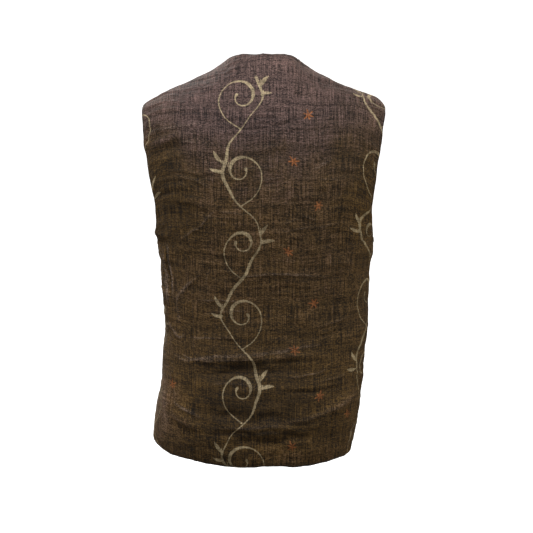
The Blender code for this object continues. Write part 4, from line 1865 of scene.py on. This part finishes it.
@dataclass(frozen=True)
class BrushedPaint:
    """Paint brushed on cloth: an uneven edge, and dry places where the weave shows through.

    The way from a mark's middle is exact between the mesh's points, but turns over halfway between two marks,
    where the plain distance, less a slack, keeps the paint off.
    """

    edge_noise: Pair = (0.0015, 0.0019)
    dry_noise: Pair = (0.0011, 0.0030)
    load_noise: Pair = (0.014, 0.014)
    edge_roughness: float = 2.3
    softness: float = 0.30
    slack: float = 1.6
    petals: int = 6
    petal_length: float = 10.4
    petal_half_width: float = 1.25
    petal_noise: Pair = (0.0060, 0.0060)

    def petal(self, wiring: Wiring, cloth: object, radius: object, angle: object) -> Socket:
        """The millimetres outside the nearest of the petals, which differ in length.

        Args:
            wiring: the group's wiring.
            cloth: places on the cloth's plane.
            radius: millimetres from the blossom's middle.
            angle: the direction from there, less the blossom's turn.

        Returns:
            The distance's socket.
        """
        lean = wiring.math("PINGPONG", angle, math.pi / self.petals)
        along = wiring.times(radius, wiring.math("COSINE", lean))
        aside = wiring.times(radius, wiring.math("SINE", lean))
        length = wiring.ramp(wiring.noise(cloth, self.petal_noise, 5.5), 0.3, 0.7, 0.62, 1.0)
        share = wiring.math("DIVIDE", along, wiring.times(length, self.petal_length))
        arch = wiring.times(share, wiring.minus(1.0, share), 4.0)
        wide = wiring.math("SQRT", wiring.math("MAXIMUM", arch, 0.0))
        beside = wiring.minus(aside, wiring.times(wide, self.petal_half_width))
        beyond = wiring.times(wiring.minus(share, 1.0), self.petal_length)
        return wiring.math("MAXIMUM", beside, beyond)

    def group(self, mark: Mark) -> bpy.types.NodeTree:
        """Makes a mark's mask as a group, from how places lie to the mark in mm, and its Cover.

        Args:
            mark: what the brush leaves.

        Returns:
            The group.
        """
        wiring, given, put_out = new_group(
            mark.value,
            {"Cloth": "Vector", "Distance": "Float", "Way": "Vector", "Cover": "Float", "Weave": "Float"},
            {"Mask": "Float"},
        )
        parts = wiring.add("ShaderNodeSeparateXYZ")
        wiring.put(given["Way"], parts.inputs[0])
        across, up, third = parts.outputs
        squares = [wiring.times(way, way) for way in (across, up)]
        radius = wiring.math("SQRT", wiring.total(*squares))
        if mark is Mark.STROKE:
            exact = wiring.minus(radius, third)
        else:
            angle = wiring.minus(wiring.math("ARCTAN2", up, across), third)
            exact = self.petal(wiring, given["Cloth"], radius, angle)
        outside = wiring.math("MAXIMUM", exact, wiring.minus(given["Distance"], self.slack))
        ragged = wiring.minus(wiring.noise(given["Cloth"], self.edge_noise, 2.9, 2), 0.5)
        away = wiring.total(outside, wiring.times(ragged, self.edge_roughness))
        inside = wiring.ramp(away, -self.softness, self.softness, 1, 0)
        dry = wiring.noise(given["Cloth"], self.dry_noise, 6.6, 2)
        worn = wiring.ramp(wiring.total(dry, wiring.times(given["Weave"], 0.14)), 0.34, 0.66, 0.34, 1)
        load = wiring.ramp(wiring.noise(given["Cloth"], self.load_noise, 9.9, 2), 0.36, 0.58, 0.66, 1)
        wiring.put(wiring.times(inside, given["Cover"], worn, load), put_out["Mask"])
        return wiring.tree


@dataclass(frozen=True)
class PaintedLinen:
    """The vest's cloth: dark dyed linen, its right and wrong sides, its print, patches of faded dye, and
    painted shade, highlight and sheen on its folds, creases, turned edges and upper back.
    """

    name: str = "painted_linen"
    warm_dye: Colour = (0.074, 0.0420, 0.0110, 1)
    # Grey-mauve colour mixed in for lighter yarns and, as painted sheen, up the back and on ridges.
    cool_dye_and_sheen: Colour = (0.073, 0.0450, 0.0370, 1)
    # Paler colour for ridge tops: partly rubbed wear, partly a painted highlight.
    rubbed_highlight_dye: Colour = (0.180, 0.131, 0.096, 1)
    wrong_dye: Colour = (0.060, 0.040, 0.022, 1)
    tan_paint: Colour = (0.370, 0.294, 0.168, 1)
    orange_paint: Colour = (0.285, 0.100, 0.030, 1)
    # Heights over which the painted sheen rises up the back.
    cool_from: float = 0.46
    cool_to: float = 0.62
    contrast: float = 1.14
    roughness: float = 0.82
    slub_roughness: float = 0.08
    specular: float = 0.30
    sheen: float = 0.12
    sheen_roughness: float = 0.40
    sheen_tint: Colour = (0.92, 0.76, 0.64, 1)
    bump_distance: float = 0.00042
    upper_sheen_noise: Pair = (0.05, 0.05)
    crease_noise: Pair = (0.0030, 0.0020)
    broken_noise: Pair = (0.0080, 0.0032)
    rub_and_highlight: float = 0.66
    # How dark the painted shade along troughs is.
    crease_shade_strength: float = 0.45
    cover_right: float = 0.92
    cover_wrong: float = 0.16

    def material(self, weave: bpy.types.NodeTree, paint: BrushedPaint) -> bpy.types.Material:
        """Makes the cloth's material.

        Args:
            weave: the weave's group.
            paint: the paint.

        Returns:
            The material for all five panels.
        """
        made, wiring, shader = new_material(self.name)
        cloth = wiring.attribute("cloth", "Vector")
        wrong = wiring.attribute("wrong_side")
        height = wiring.attribute("height")
        woven = place_group(wiring, weave, Cloth=cloth, Contrast=self.contrast)
        # Painted sheen: the dye turns towards the cool colour up the back and on ridges that stand out; it
        # also turns warmer towards the bottom, and lighter yarns and the fade_and_painted_sheen patches shift
        # it.
        upper_painted_sheen = wiring.ramp(
            wiring.total(height, wiring.times(wiring.noise(cloth, self.upper_sheen_noise, 3.3, 2), 0.12)),
            self.cool_from, self.cool_to, 0.0, 0.66,
        )
        cooled = wiring.total(
            upper_painted_sheen, wiring.ramp(height, 0.12, 0.34, -0.06, 0.14), wiring.attribute("fade_and_painted_sheen"),
            wiring.ramp(wiring.attribute("relief"), 0.8, 4.5, 0.0, 0.30),
            wiring.times(woven["Yarn"], 0.15),
            wiring.times(wiring.minus(woven["Shade"], 1.0), 0.20),
        )
        dye = wiring.mix(wiring.ramp(cooled, 0.0, 1.0), self.warm_dye, self.cool_dye_and_sheen)
        dye = wiring.mix(wrong, dye, self.wrong_dye)
        # Painted shade and highlight: the cloth is darker where it lies deep and lighter where it stands out.
        painted_shading = wiring.ramp(wiring.attribute("relief"), -5.0, 5.0, 0.86, 1.14)
        # Painted shadow: the cloth darkens within a few millimetres of its turned edges, at the hem,
        # armholes, back neck and the fronts' free edges.
        turned = wiring.ramp(wiring.attribute("edge"), 1.0, 5.0, 0.24, 1.0)
        # Patches partly of faded dye and partly of painted light and shade.
        fade_and_light_patches = wiring.total(wiring.attribute("fade_and_painted_light"), 1.0)
        shade = wiring.times(woven["Shade"], painted_shading, turned, fade_and_light_patches)
        # Creases: ridge tops are mixed towards the rubbed highlight colour, partly rubbed wear and partly a
        # painted highlight; troughs are darkened, which is painted shade.
        ragged = wiring.times(wiring.noise(cloth, self.crease_noise, 8.8, 2), 2.2)
        on_crease = wiring.ramp(wiring.total(wiring.attribute("crease_away"), ragged), 0.4, 2.6, 1, 0)
        wear_and_painted_light = wiring.attribute("crease_wear_and_shade")
        broken = wiring.ramp(wiring.noise(cloth, self.broken_noise, 4.4, 2), 0.36, 0.60, 0.30, 1.0)
        worn = wiring.times(wiring.math("MAXIMUM", wear_and_painted_light, 0.0), broken)
        crease_band = wiring.times(on_crease, worn)
        crease_shade = wiring.times(on_crease, wiring.math("MAXIMUM", wiring.times(wear_and_painted_light, -1.0), 0.0))
        shade = wiring.times(shade, wiring.minus(1.0, wiring.times(crease_shade, self.crease_shade_strength)))
        ground = wiring.tinted(wiring.mix(wiring.times(crease_band, self.rub_and_highlight), dye, self.rubbed_highlight_dye), shade)
        cover = wiring.ramp(wrong, 0.0, 1.0, self.cover_right, self.cover_wrong)
        colour = ground
        for kind, mark, paint_colour in (
            ("tan", Mark.STROKE, self.tan_paint), ("orange", Mark.BLOSSOM, self.orange_paint),
        ):
            mask = place_group(
                wiring, paint.group(mark), Cloth=cloth, Distance=wiring.attribute(kind + "_away"),
                Way=wiring.attribute(kind + "_way", "Vector"), Cover=cover, Weave=woven["Height"],
            )["Mask"]
            painted = wiring.tinted(paint_colour, wiring.ramp(woven["Shade"], 0.3, 1.7, 0.62, 1.42))
            colour = wiring.mix(mask, colour, painted)
        rough = wiring.ramp(woven["Slubs"], 0, 1, self.roughness, self.roughness + self.slub_roughness)
        normal = wiring.bump(woven["Height"], self.bump_distance)
        wiring.feed(
            shader, Base_Color=colour, Roughness=rough, Normal=normal, Specular_IOR_Level=self.specular,
            Sheen_Weight=self.sheen, Sheen_Roughness=self.sheen_roughness, Sheen_Tint=self.sheen_tint,
        )
        return made


@dataclass(frozen=True)
class Horn:
    """Half-polished dark horn with paler streaks."""

    name: str = "dark_horn"
    dark: Colour = (0.022, 0.013, 0.008, 1)
    pale: Colour = (0.115, 0.066, 0.034, 1)
    streak: Pair = (0.0011, 0.0090)
    scuff: Pair = (0.0004, 0.0006)
    roughness: Pair = (0.24, 0.40)
    bump_distance: float = 0.00004
    coat: float = 0.25
    coat_roughness: float = 0.15

    def material(self) -> bpy.types.Material:
        """Makes the horn's material.

        Returns:
            The material.
        """
        made, wiring, shader = new_material(self.name)
        place = wiring.add("ShaderNodeTexCoord").outputs["Object"]
        streaks = wiring.noise(place, self.streak, 0.4, 3)
        colour = wiring.mix(wiring.ramp(streaks, 0.42, 0.72), self.dark, self.pale)
        rough = wiring.ramp(wiring.noise(place, self.scuff, 1.2, 2), 0.3, 0.7, *self.roughness)
        normal = wiring.bump(streaks, self.bump_distance)
        wiring.feed(
            shader, Base_Color=colour, Roughness=rough, Normal=normal, Coat_Weight=self.coat,
            Coat_Roughness=self.coat_roughness,
        )
        return made


@dataclass(frozen=True)
class Thread:
    """Waxed linen sewing thread."""

    name: str = "linen_thread"
    light: Colour = (0.190, 0.138, 0.085, 1)
    dark: Colour = (0.080, 0.054, 0.032, 1)
    ply: float = 0.00035
    unevenness: float = 1.5
    bump_distance: float = 0.00006
    roughness: float = 0.7

    def material(self) -> bpy.types.Material:
        """Makes the thread's material.

        Returns:
            The material.
        """
        made, wiring, shader = new_material(self.name)
        place = wiring.add("ShaderNodeTexCoord").outputs["Object"]
        twist = wiring.add("ShaderNodeTexWave", bands_direction="DIAGONAL")
        wiring.feed(twist, Vector=place, Scale=1 / self.ply / 3, Distortion=self.unevenness)
        colour = wiring.mix(twist.outputs["Fac"], self.dark, self.light)
        normal = wiring.bump(twist.outputs["Fac"], self.bump_distance)
        wiring.feed(shader, Base_Color=colour, Normal=normal, Roughness=self.roughness)
        return made


def new_material(name: str) -> tuple[bpy.types.Material, Wiring, bpy.types.Node]:
    """A material with nodes, its wiring and its Principled shader.

    Args:
        name: the material's name.

    Returns:
        The material, its wiring and its shader.
    """
    made = bpy.data.materials.new(name)
    made.use_nodes = True
    return made, Wiring(made.node_tree), made.node_tree.nodes["Principled BSDF"]


@dataclass
class VestBody:
    """The five cloth panels, sewn at the sides, shoulders and back seams, and wrapped in front."""

    form: WornForm = field(default_factory=WornForm)
    wrap: Wrap = field(default_factory=Wrap)
    seam_blend: float = 0.004
    neck_columns: int = 36

    def back_seam(self, side: int) -> Callable[[float], float]:
        """The seam between centre back and side back, as a length from the middle at each height."""
        return lambda height: self.form.length_to(BACK, side * float(PANEL_SEAM.at(height)), height)

    def body_side(self, face: Face, side: int) -> Callable[[float], float]:
        """The side seam and, over it, the armhole's edge."""
        return lambda height: self.form.side_length(face, side, height)

    def wrap_edge(self, side: int) -> Callable[[float], float]:
        """A front's free edge, from the hem up to the neck."""
        return lambda height: self.form.length_to(FRONT, self.wrap.across(side, height), height)

    def neck_shares(self) -> tuple[float, ...]:
        """Shares of the centre back's width across the neck, closer towards its corners.

        Returns:
            The shares, rising.
        """
        turns = np.linspace(-math.pi / 2, math.pi / 2, 2 * self.neck_columns + 1)
        seam = float(PANEL_SEAM.at(self.form.chest_top))
        return tuple(0.5 + self.form.neck_across * np.sin(turns) / seam / 2)

    def below_armhole(self, level: float) -> float:
        """1 on the side seam and 0 on the armhole's edge."""
        low = self.form.underarm - self.seam_blend
        return 1 - float(ease(low, low + 2 * self.seam_blend, np.array(level)))

    def panels(self) -> list[Cloth]:
        """The cut pieces with their prints.

        Returns:
            The panels, back first.
        """
        always, never = (lambda level: 1.0), (lambda level: 0.0)
        centre = Cloth(
            "cloth_back_centre", "back_centre", BACK, self.back_seam(-1), self.back_seam(1),
            always, always, CENTRE_MOTIFS, 11, (0.290, 0.672), 0.169, ("back_side_left", "back_side_right"),
            extra_shares=self.neck_shares(),
        )
        made = [centre]
        for name, side, motifs in (("left", 1, SIDE_LEFT_MOTIFS), ("right", -1, SIDE_RIGHT_MOTIFS)):
            made.append(Cloth(
                "cloth_back_side_" + name, "back_side_" + name, BACK, self.back_seam(side),
                self.body_side(BACK, side), always, self.below_armhole, motifs, 12 + side, (0.125, 0.610),
                0.059, ("back_centre",), column_step=0.0020, row_step=0.0020,
            ))
        for name, side, motifs in (("left_under", 1, UNDER_MOTIFS), ("right_over", -1, OVER_MOTIFS)):
            made.append(Cloth(
                "cloth_front_" + name, "front_" + name, FRONT, self.body_side(FRONT, side),
                self.wrap_edge(side), self.below_armhole, never, motifs, 22 + side, (0.370, 0.660), 0.168,
                ("back_side_left", "back_side_right"), over=side < 0, column_step=0.0027, row_step=0.0027,
            ))
        return made

    def build(self, linen: bpy.types.Material) -> list[bpy.types.Object]:
        """Args:
            linen: the cloth's material.

        Returns:
            The panels.
        """
        made = []
        for cloth in self.panels():
            piece = cloth.build()
            piece.data.materials.append(linen)
            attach(piece, BODY)
            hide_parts(cloth.node)
            LOG.info("%s: %d faces, cut %s m2", piece.name, len(piece.data.polygons), cloth.area)
            made.append(piece)
        return made


def smooth_mesh(work: bmesh.types.BMesh, name: str) -> bpy.types.Mesh:
    """Turns a worked body into a smooth mesh.

    Args:
        work: the body, which is used up.
        name: the mesh's name.

    Returns:
        The mesh, with its faces outward.
    """
    bmesh.ops.recalc_face_normals(work, faces=work.faces)
    mesh = bpy.data.meshes.new(name)
    work.to_mesh(mesh)
    work.free()
    mesh.shade_smooth()
    return mesh


def turned_mesh(name: str, outline: Iterable[Pair], steps: int) -> bpy.types.Mesh:
    """A closed round body from an outline.

    Args:
        name: the mesh's name.
        outline: (radius, height) points from one end of the axis to the other, both with radius 0.
        steps: how many pieces the turn has.

    Returns:
        The smooth mesh, round the Z axis.
    """
    work = bmesh.new()
    points = [work.verts.new((radius, 0, height)) for radius, height in outline]
    edges = [work.edges.new(pair) for pair in zip(points, points[1:])]
    bmesh.ops.spin(
        work, geom=points + edges, cent=(0, 0, 0), axis=(0, 0, 1), angle=2 * math.pi, steps=steps,
        use_merge=True,
    )
    bmesh.ops.remove_doubles(work, verts=work.verts, dist=1e-6)
    return smooth_mesh(work, name)


def sewn_mesh(name: str, paths: Iterable[list[Vector]], radius: float, sides: int = 8) -> bpy.types.Mesh:
    """Round threads along paths, all in one mesh.

    Args:
        name: the mesh's name.
        paths: the threads' middle lines.
        radius: the threads' radius.
        sides: how many sides a thread has.

    Returns:
        The smooth mesh, with closed ends.
    """
    work = bmesh.new()
    for path in paths:
        rings = []
        side = None
        for i, place in enumerate(path):
            ahead = (path[min(i + 1, len(path) - 1)] - path[max(i - 1, 0)]).normalized()
            side = (ahead.orthogonal() if side is None else side - ahead * side.dot(ahead)).normalized()
            other = ahead.cross(side)
            turns = [2 * math.pi * k / sides for k in range(sides)]
            spokes = [side * math.cos(turn) + other * math.sin(turn) for turn in turns]
            rings.append([work.verts.new(place + spoke * radius) for spoke in spokes])
        for low, high in zip(rings, rings[1:]):
            for k in range(sides):
                work.faces.new((low[k], low[(k + 1) % sides], high[(k + 1) % sides], high[k]))
        work.faces.new(list(reversed(rings[0])))
        work.faces.new(rings[-1])
    return smooth_mesh(work, name)


@dataclass
class Button:
    """A turned horn button with a dished face and four holes, sewn on with waxed thread."""

    radius: float = 0.009
    thickness: float = 0.0032
    across: float = 0.096
    height: float = 0.214
    steps: int = 72
    holes: int = 4
    hole_radius: float = 0.0010
    hole_out: float = 0.0019
    thread_radius: float = 0.00026
    strands: int = 3
    dish_share: float = 0.80
    strand_run: tuple[Place, ...] = (
        (-0.05, 0.4, -0.0022), (-0.02, 0.6, -0.0004), (0.10, 0.9, 0.00030), (0.32, 1.1, 0.00052),
        (0.50, 1.2, 0.00060), (0.68, 1.1, 0.00052), (0.90, 0.9, 0.00030), (1.02, 0.6, -0.0004),
        (1.05, 0.4, -0.0022),
    )
    outline: Knots = (
        (0.00, 0.00), (0.62, 0.00), (0.86, 0.03), (0.95, 0.14), (1.00, 0.36), (1.00, 0.66), (0.975, 0.84),
        (0.93, 0.96), (0.88, 1.00), (0.82, 0.98), (0.765, 0.90), (0.71, 0.81), (0.66, 0.785), (0.635, 0.745),
        (0.61, 0.785), (0.50, 0.79), (0.00, 0.80),
    )

    def place(self, cloth: Cloth) -> Matrix:
        """The button's seat on the over front: its middle as packed, its axis out of the cloth.

        Args:
            cloth: the over front.

        Returns:
            The button's placing.
        """
        low, high = (Vector(corner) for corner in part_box("button"))
        _, out = cloth.seat(self.across, self.height)
        base = (low + high) / 2 - out * self.thickness / 2
        return Matrix.Translation(base) @ out.to_track_quat("Z", "X").to_matrix().to_4x4()

    def hole_centres(self) -> list[Vector]:
        """The middles of the thread holes, round the button's axis."""
        turns = [math.pi / 4 + 2 * math.pi * i / self.holes for i in range(self.holes)]
        return [Vector((self.hole_out * math.cos(turn), self.hole_out * math.sin(turn), 0)) for turn in turns]

    def disc(self) -> bpy.types.Mesh:
        """The button with its holes, whose rims are eased.

        Returns:
            The mesh, round its own axis.
        """
        outline = [(radius * self.radius, height * self.thickness) for radius, height in self.outline]
        disc = new_object("turned_button", turned_mesh("turned_button", outline, self.steps))
        dish, hole, rim = self.dish_share * self.thickness, self.hole_radius, self.hole_radius * 1.4
        rod = [
            (0, -self.thickness), (hole, -self.thickness), (hole, dish - 0.0004),
            (rim, dish + 0.0001), (rim, 2 * dish), (0, 2 * dish),
        ]
        cutters = []
        for centre in self.hole_centres():
            cutter = new_object("hole_cutter", turned_mesh("hole_cutter", rod, 24))
            cutter.location = centre
            cut = disc.modifiers.new("hole", "BOOLEAN")
            cut.operation, cut.object = "DIFFERENCE", cutter
            cutters.append(cutter)
        made = disc.evaluated_get(bpy.context.evaluated_depsgraph_get())
        mesh = bpy.data.meshes.new_from_object(made)
        for extra in (disc, *cutters):
            bpy.data.objects.remove(extra, do_unlink=True)
        mesh.set_sharp_from_angle(angle=math.radians(50))
        return mesh

    def thread_paths(self) -> list[list[Vector]]:
        """Two bars of strands, each from a hole over the dish into the next hole.

        Returns:
            The strands' middle lines.
        """
        centres = self.hole_centres()
        top = self.dish_share * self.thickness
        paths = []
        for first, second in ((centres[0], centres[1]), (centres[3], centres[2])):
            run = second - first
            aside = Vector((-run.y, run.x, 0)).normalized()
            for k in range(self.strands):
                off = aside * (k - (self.strands - 1) / 2) * self.thread_radius * 1.9
                paths.append([
                    first + run * share + off * spread + Vector((0, 0, top + rise))
                    for share, spread, rise in self.strand_run
                ])
        return paths

    def build(self, cloth: Cloth, horn: bpy.types.Material, thread: bpy.types.Material) -> None:
        """Makes the button and its thread on the over front.

        Args:
            cloth: the over front.
            horn: the button's material.
            thread: the thread's material.
        """
        seat = self.place(cloth)
        for name, mesh, finish in (
            ("horn_button", self.disc(), horn),
            ("button_thread", sewn_mesh("button_thread", self.thread_paths(), self.thread_radius), thread),
        ):
            mesh.name = name
            mesh.materials.clear()
            mesh.materials.append(finish)
            piece = new_object(name, mesh)
            piece.matrix_world = seat
            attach(piece, BODY)
            if finish is horn:
                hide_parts("button")
            LOG.info("%s: %d faces", name, len(mesh.polygons))


@dataclass
class Buttonhole:
    """A hand-worked buttonhole in the over front: a closed slit with purl stitches round it."""

    start: float = 0.1005
    end: float = 0.0755
    height: float = 0.214
    stitches: int = 27
    reach: float = 0.0025
    lip: float = 0.00042
    thread_radius: float = 0.00029
    button_across: float = 0.096
    button_reach: float = 0.0098
    pressed_lift: float = 0.00008
    stitch: Knots = ((0, 0.00030), (0.15, 0.00062), (0.5, 0.00055), (0.85, 0.00035), (1, -0.0003))
    end_stitch: Knots = ((0, 0.00040), (0.4, 0.00060), (1, -0.0003))

    def paths(self, cloth: Cloth, surface: BVHTree) -> list[list[Vector]]:
        """The stitches' and the beaded lips' middle lines.

        Args:
            cloth: the over front.
            surface: the over front's finished shell.

        Returns:
            One line of places for each thread.
        """
        def lay(across: float, up: float, lift: float) -> Vector:
            """A place over the cloth, pressed into it where the button lies on top.

            Args:
                across: how far across the place is.
                up: how far over the slit.
                lift: how far off the cloth.

            Returns:
                The place.
            """
            if math.hypot(across - self.button_across, up) < self.button_reach:
                lift = min(lift, self.pressed_lift)
            point, out = cloth.seat(across, self.height + up)
            near, normal, _, _ = surface.find_nearest(point + out * 0.012)
            return near + normal * lift

        made = []
        span = self.end - self.start
        for side in (-1, 1):
            for i in range(self.stitches):
                across = self.start + span * (i + 0.5) / self.stitches
                uneven = 1 + 0.10 * math.sin(2.7 * i + side)
                lean = 0.00018 * math.sin(1.9 * i + 2 * side)
                run = self.reach * uneven - self.lip
                made.append([
                    lay(across + lean * share, side * (self.lip + run * share), lift)
                    for share, lift in self.stitch
                ])
            beads = 2 * self.stitches
            made.append([
                lay(self.start + span * k / beads, side * self.lip, 0.00042 + 0.00016 * math.cos(math.pi * k))
                for k in range(beads + 1)
            ])
        for k in range(-3, 4):
            turn = math.pi / 2 * k / 3.5
            ways = [(self.lip + (self.reach - self.lip) * share, lift) for share, lift in self.end_stitch]
            made.append([
                lay(self.start + out * math.cos(turn), out * math.sin(turn), lift) for out, lift in ways
            ])
        return made

    def build(self, cloth: Cloth, panel: bpy.types.Object, thread: bpy.types.Material) -> None:
        """Makes the stitches.

        Args:
            cloth: the over front.
            panel: its finished shell.
            thread: the thread's material.
        """
        mesh = panel.data
        surface = BVHTree.FromPolygons([v.co for v in mesh.vertices], [p.vertices for p in mesh.polygons])
        sewn = sewn_mesh("buttonhole_stitches", self.paths(cloth, surface), self.thread_radius, 6)
        sewn.materials.append(thread)
        piece = new_object(sewn.name, sewn)
        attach(piece, BODY)
        LOG.info("%s: %d faces", piece.name, len(sewn.polygons))


CENTRE_MOTIFS = Motifs(
    scrolls=((0.034, -0.040, 0.640, 1),),
    blooms=(
        Bloom(-0.072, 0.575, 0.3), Bloom(-0.048, 0.500, 0.9), Bloom(-0.088, 0.430, 0.1),
        Bloom(-0.040, 0.355, 0.6), Bloom(-0.082, 0.270, 1.1), Bloom(-0.050, 0.196, 0.4),
        Bloom(-0.092, 0.118, 0.8), Bloom(-0.046, 0.040, 0.2),
    ),
)
SIDE_LEFT_MOTIFS = Motifs(scrolls=((0.222, -0.080, 0.700, -1),), blooms=(Bloom(0.160, 0.120, 0.5),))
SIDE_RIGHT_MOTIFS = Motifs(scrolls=((-0.196, -0.020, 0.700, -1),), blooms=(Bloom(-0.150, 0.080, 0.2),))
UNDER_MOTIFS = Motifs(
    scrolls=((0.106, -0.060, 0.700, -1),),
    blooms=(Bloom(0.160, 0.300, 0.3), Bloom(0.170, 0.160, 0.9), Bloom(0.010, 0.090, 0.5)),
)
OVER_MOTIFS = Motifs(
    scrolls=((-0.118, -0.020, 0.700, 1),),
    blooms=(
        Bloom(-0.172, 0.330, 0.7), Bloom(-0.165, 0.190, 0.2), Bloom(-0.030, 0.300, 1.0),
        Bloom(-0.022, 0.140, 0.4), Bloom(-0.170, 0.050, 0.6),
    ),
)


@dataclass(frozen=True)
class Lamp:
    """One soft rectangular light."""

    name: str
    place: Place
    aim: Place
    size: Pair
    power: float
    colour: Place


LAMPS = (
    Lamp("key", (0.20, 0.68, 0.88), (0, 0, -0.20), (0.7, 0.4), 19.0, (0.95, 0.95, 1.0)),
    Lamp("fill", (-0.2, 2.8, -0.2), (0, 0, -0.4), (1.2, 1.0), 2.4, (1.0, 0.90, 0.72)),
    Lamp("right", (-1.6, 0.6, -0.3), (0, 0, -0.38), (0.8, 1.0), 10.6, (1.0, 0.95, 0.88)),
    Lamp("left", (1.3, 0.5, -0.85), (0.05, 0, -0.60), (0.5, 0.5), 6.6, (1.0, 0.92, 0.84)),
    Lamp("front", (0.6, -2.0, 1.3), (0, 0, -0.3), (1.2, 0.8), 48.0, (1.0, 0.98, 0.95)),
)


def aimed_object(name: str, data: bpy.types.ID, place: Place, aim: Place) -> bpy.types.Object:
    """A camera or light that looks at a place.

    Args:
        name: its name.
        data: the camera's or the light's data.
        place: where it stands.
        aim: what it looks at.

    Returns:
        The object.
    """
    obj = new_object(name, data)
    look = Vector(aim) - Vector(place)
    obj.matrix_world = Matrix.Translation(place) @ look.to_track_quat("-Z", "Y").to_matrix().to_4x4()
    return obj


@dataclass
class Studio:
    """The camera, the soft lights and the pale sweep that the vest is shown on."""

    eye: Place = (0.0, 2.5, 0.05)
    aim: Place = (-0.0057, 0.0, -0.3402)
    lens: float = 103.38
    sensor: float = 36.0
    floor_drop: float = 0.33
    sweep_half_width: float = 4.0
    sweep_near: float = 3.2
    sweep_far: float = -2.6
    sweep_radius: float = 0.9
    sweep_height: float = 3.4
    sweep_glow: float = 0.80
    ambient: float = 0.045

    def camera(self) -> None:
        """Makes the camera and shows the scene through it."""
        data = bpy.data.cameras.new("camera")
        data.lens, data.sensor_width = self.lens, self.sensor
        bpy.context.scene.camera = aimed_object("camera", data, self.eye, self.aim)

    def lights(self) -> None:
        """The soft lights."""
        for lamp in LAMPS:
            data = bpy.data.lights.new(lamp.name, "AREA")
            data.shape, (data.size, data.size_y) = "RECTANGLE", lamp.size
            data.energy, data.color = lamp.power, lamp.colour
            aimed_object(lamp.name, data, lamp.place, lamp.aim)

    def world(self) -> None:
        """Weak even light, with white behind everything for the camera."""
        made = bpy.data.worlds.new("studio")
        made.use_nodes = True
        wiring = Wiring(made.node_tree)
        seen = wiring.add("ShaderNodeLightPath").outputs["Is Camera Ray"]
        back = made.node_tree.nodes["Background"]
        back.inputs["Color"].default_value = (1, 1, 1, 1)
        wiring.put(wiring.ramp(seen, 0, 1, self.ambient, 1.0), back.inputs["Strength"])
        bpy.context.scene.world = made

    def sweep(self) -> None:
        """The floor, which curves up into a backdrop."""
        floor = CAD_BOX[0][2] - self.floor_drop
        centre_y, centre_z = self.sweep_far + self.sweep_radius, floor + self.sweep_radius
        line = [(self.sweep_near, floor)]
        for i in range(25):
            turn = math.pi / 2 * i / 24
            across, down = self.sweep_radius * math.sin(turn), self.sweep_radius * math.cos(turn)
            line.append((centre_y - across, centre_z - down))
        line.append((self.sweep_far, floor + self.sweep_height))
        mesh = bpy.data.meshes.new("sweep")
        points = [(x, y, z) for y, z in line for x in (-self.sweep_half_width, self.sweep_half_width)]
        faces = [(2 * i, 2 * i + 1, 2 * i + 3, 2 * i + 2) for i in range(len(line) - 1)]
        mesh.from_pydata(points, [], faces)
        mesh.shade_smooth()
        piece = new_object("sweep", mesh)
        made, wiring, shader = new_material("pale_paper")
        seen = wiring.add("ShaderNodeLightPath").outputs["Is Camera Ray"]
        wiring.feed(
            shader, Base_Color=(0.86, 0.86, 0.86, 1), Roughness=0.9, Emission_Color=(1, 1, 1, 1),
            Emission_Strength=wiring.times(seen, self.sweep_glow),
        )
        mesh.materials.append(made)
        piece.visible_diffuse = False
        piece.visible_glossy = False

    def build(self) -> None:
        """Sets up the whole studio."""
        self.camera()
        self.world()
        self.sweep()
        self.lights()
        settings = bpy.context.scene.view_settings
        settings.view_transform = "Standard"
        settings.look = "None"


def main() -> None:
    """Builds the vest and its studio, in order."""
    logging.basicConfig(level=logging.INFO, format="%(name)s: %(message)s")
    studio = Studio()
    studio.build()
    LOG.info("studio ready")
    linen = PaintedLinen().material(SlubbyWeave().group(), BrushedPaint())
    vest = VestBody()
    panels = vest.build(linen)
    over = vest.panels()[-1]
    horn, thread = Horn().material(), Thread().material()
    Button().build(over, horn, thread)
    Buttonhole().build(over, panels[-1], thread)


if __name__ == "__main__":
    main()
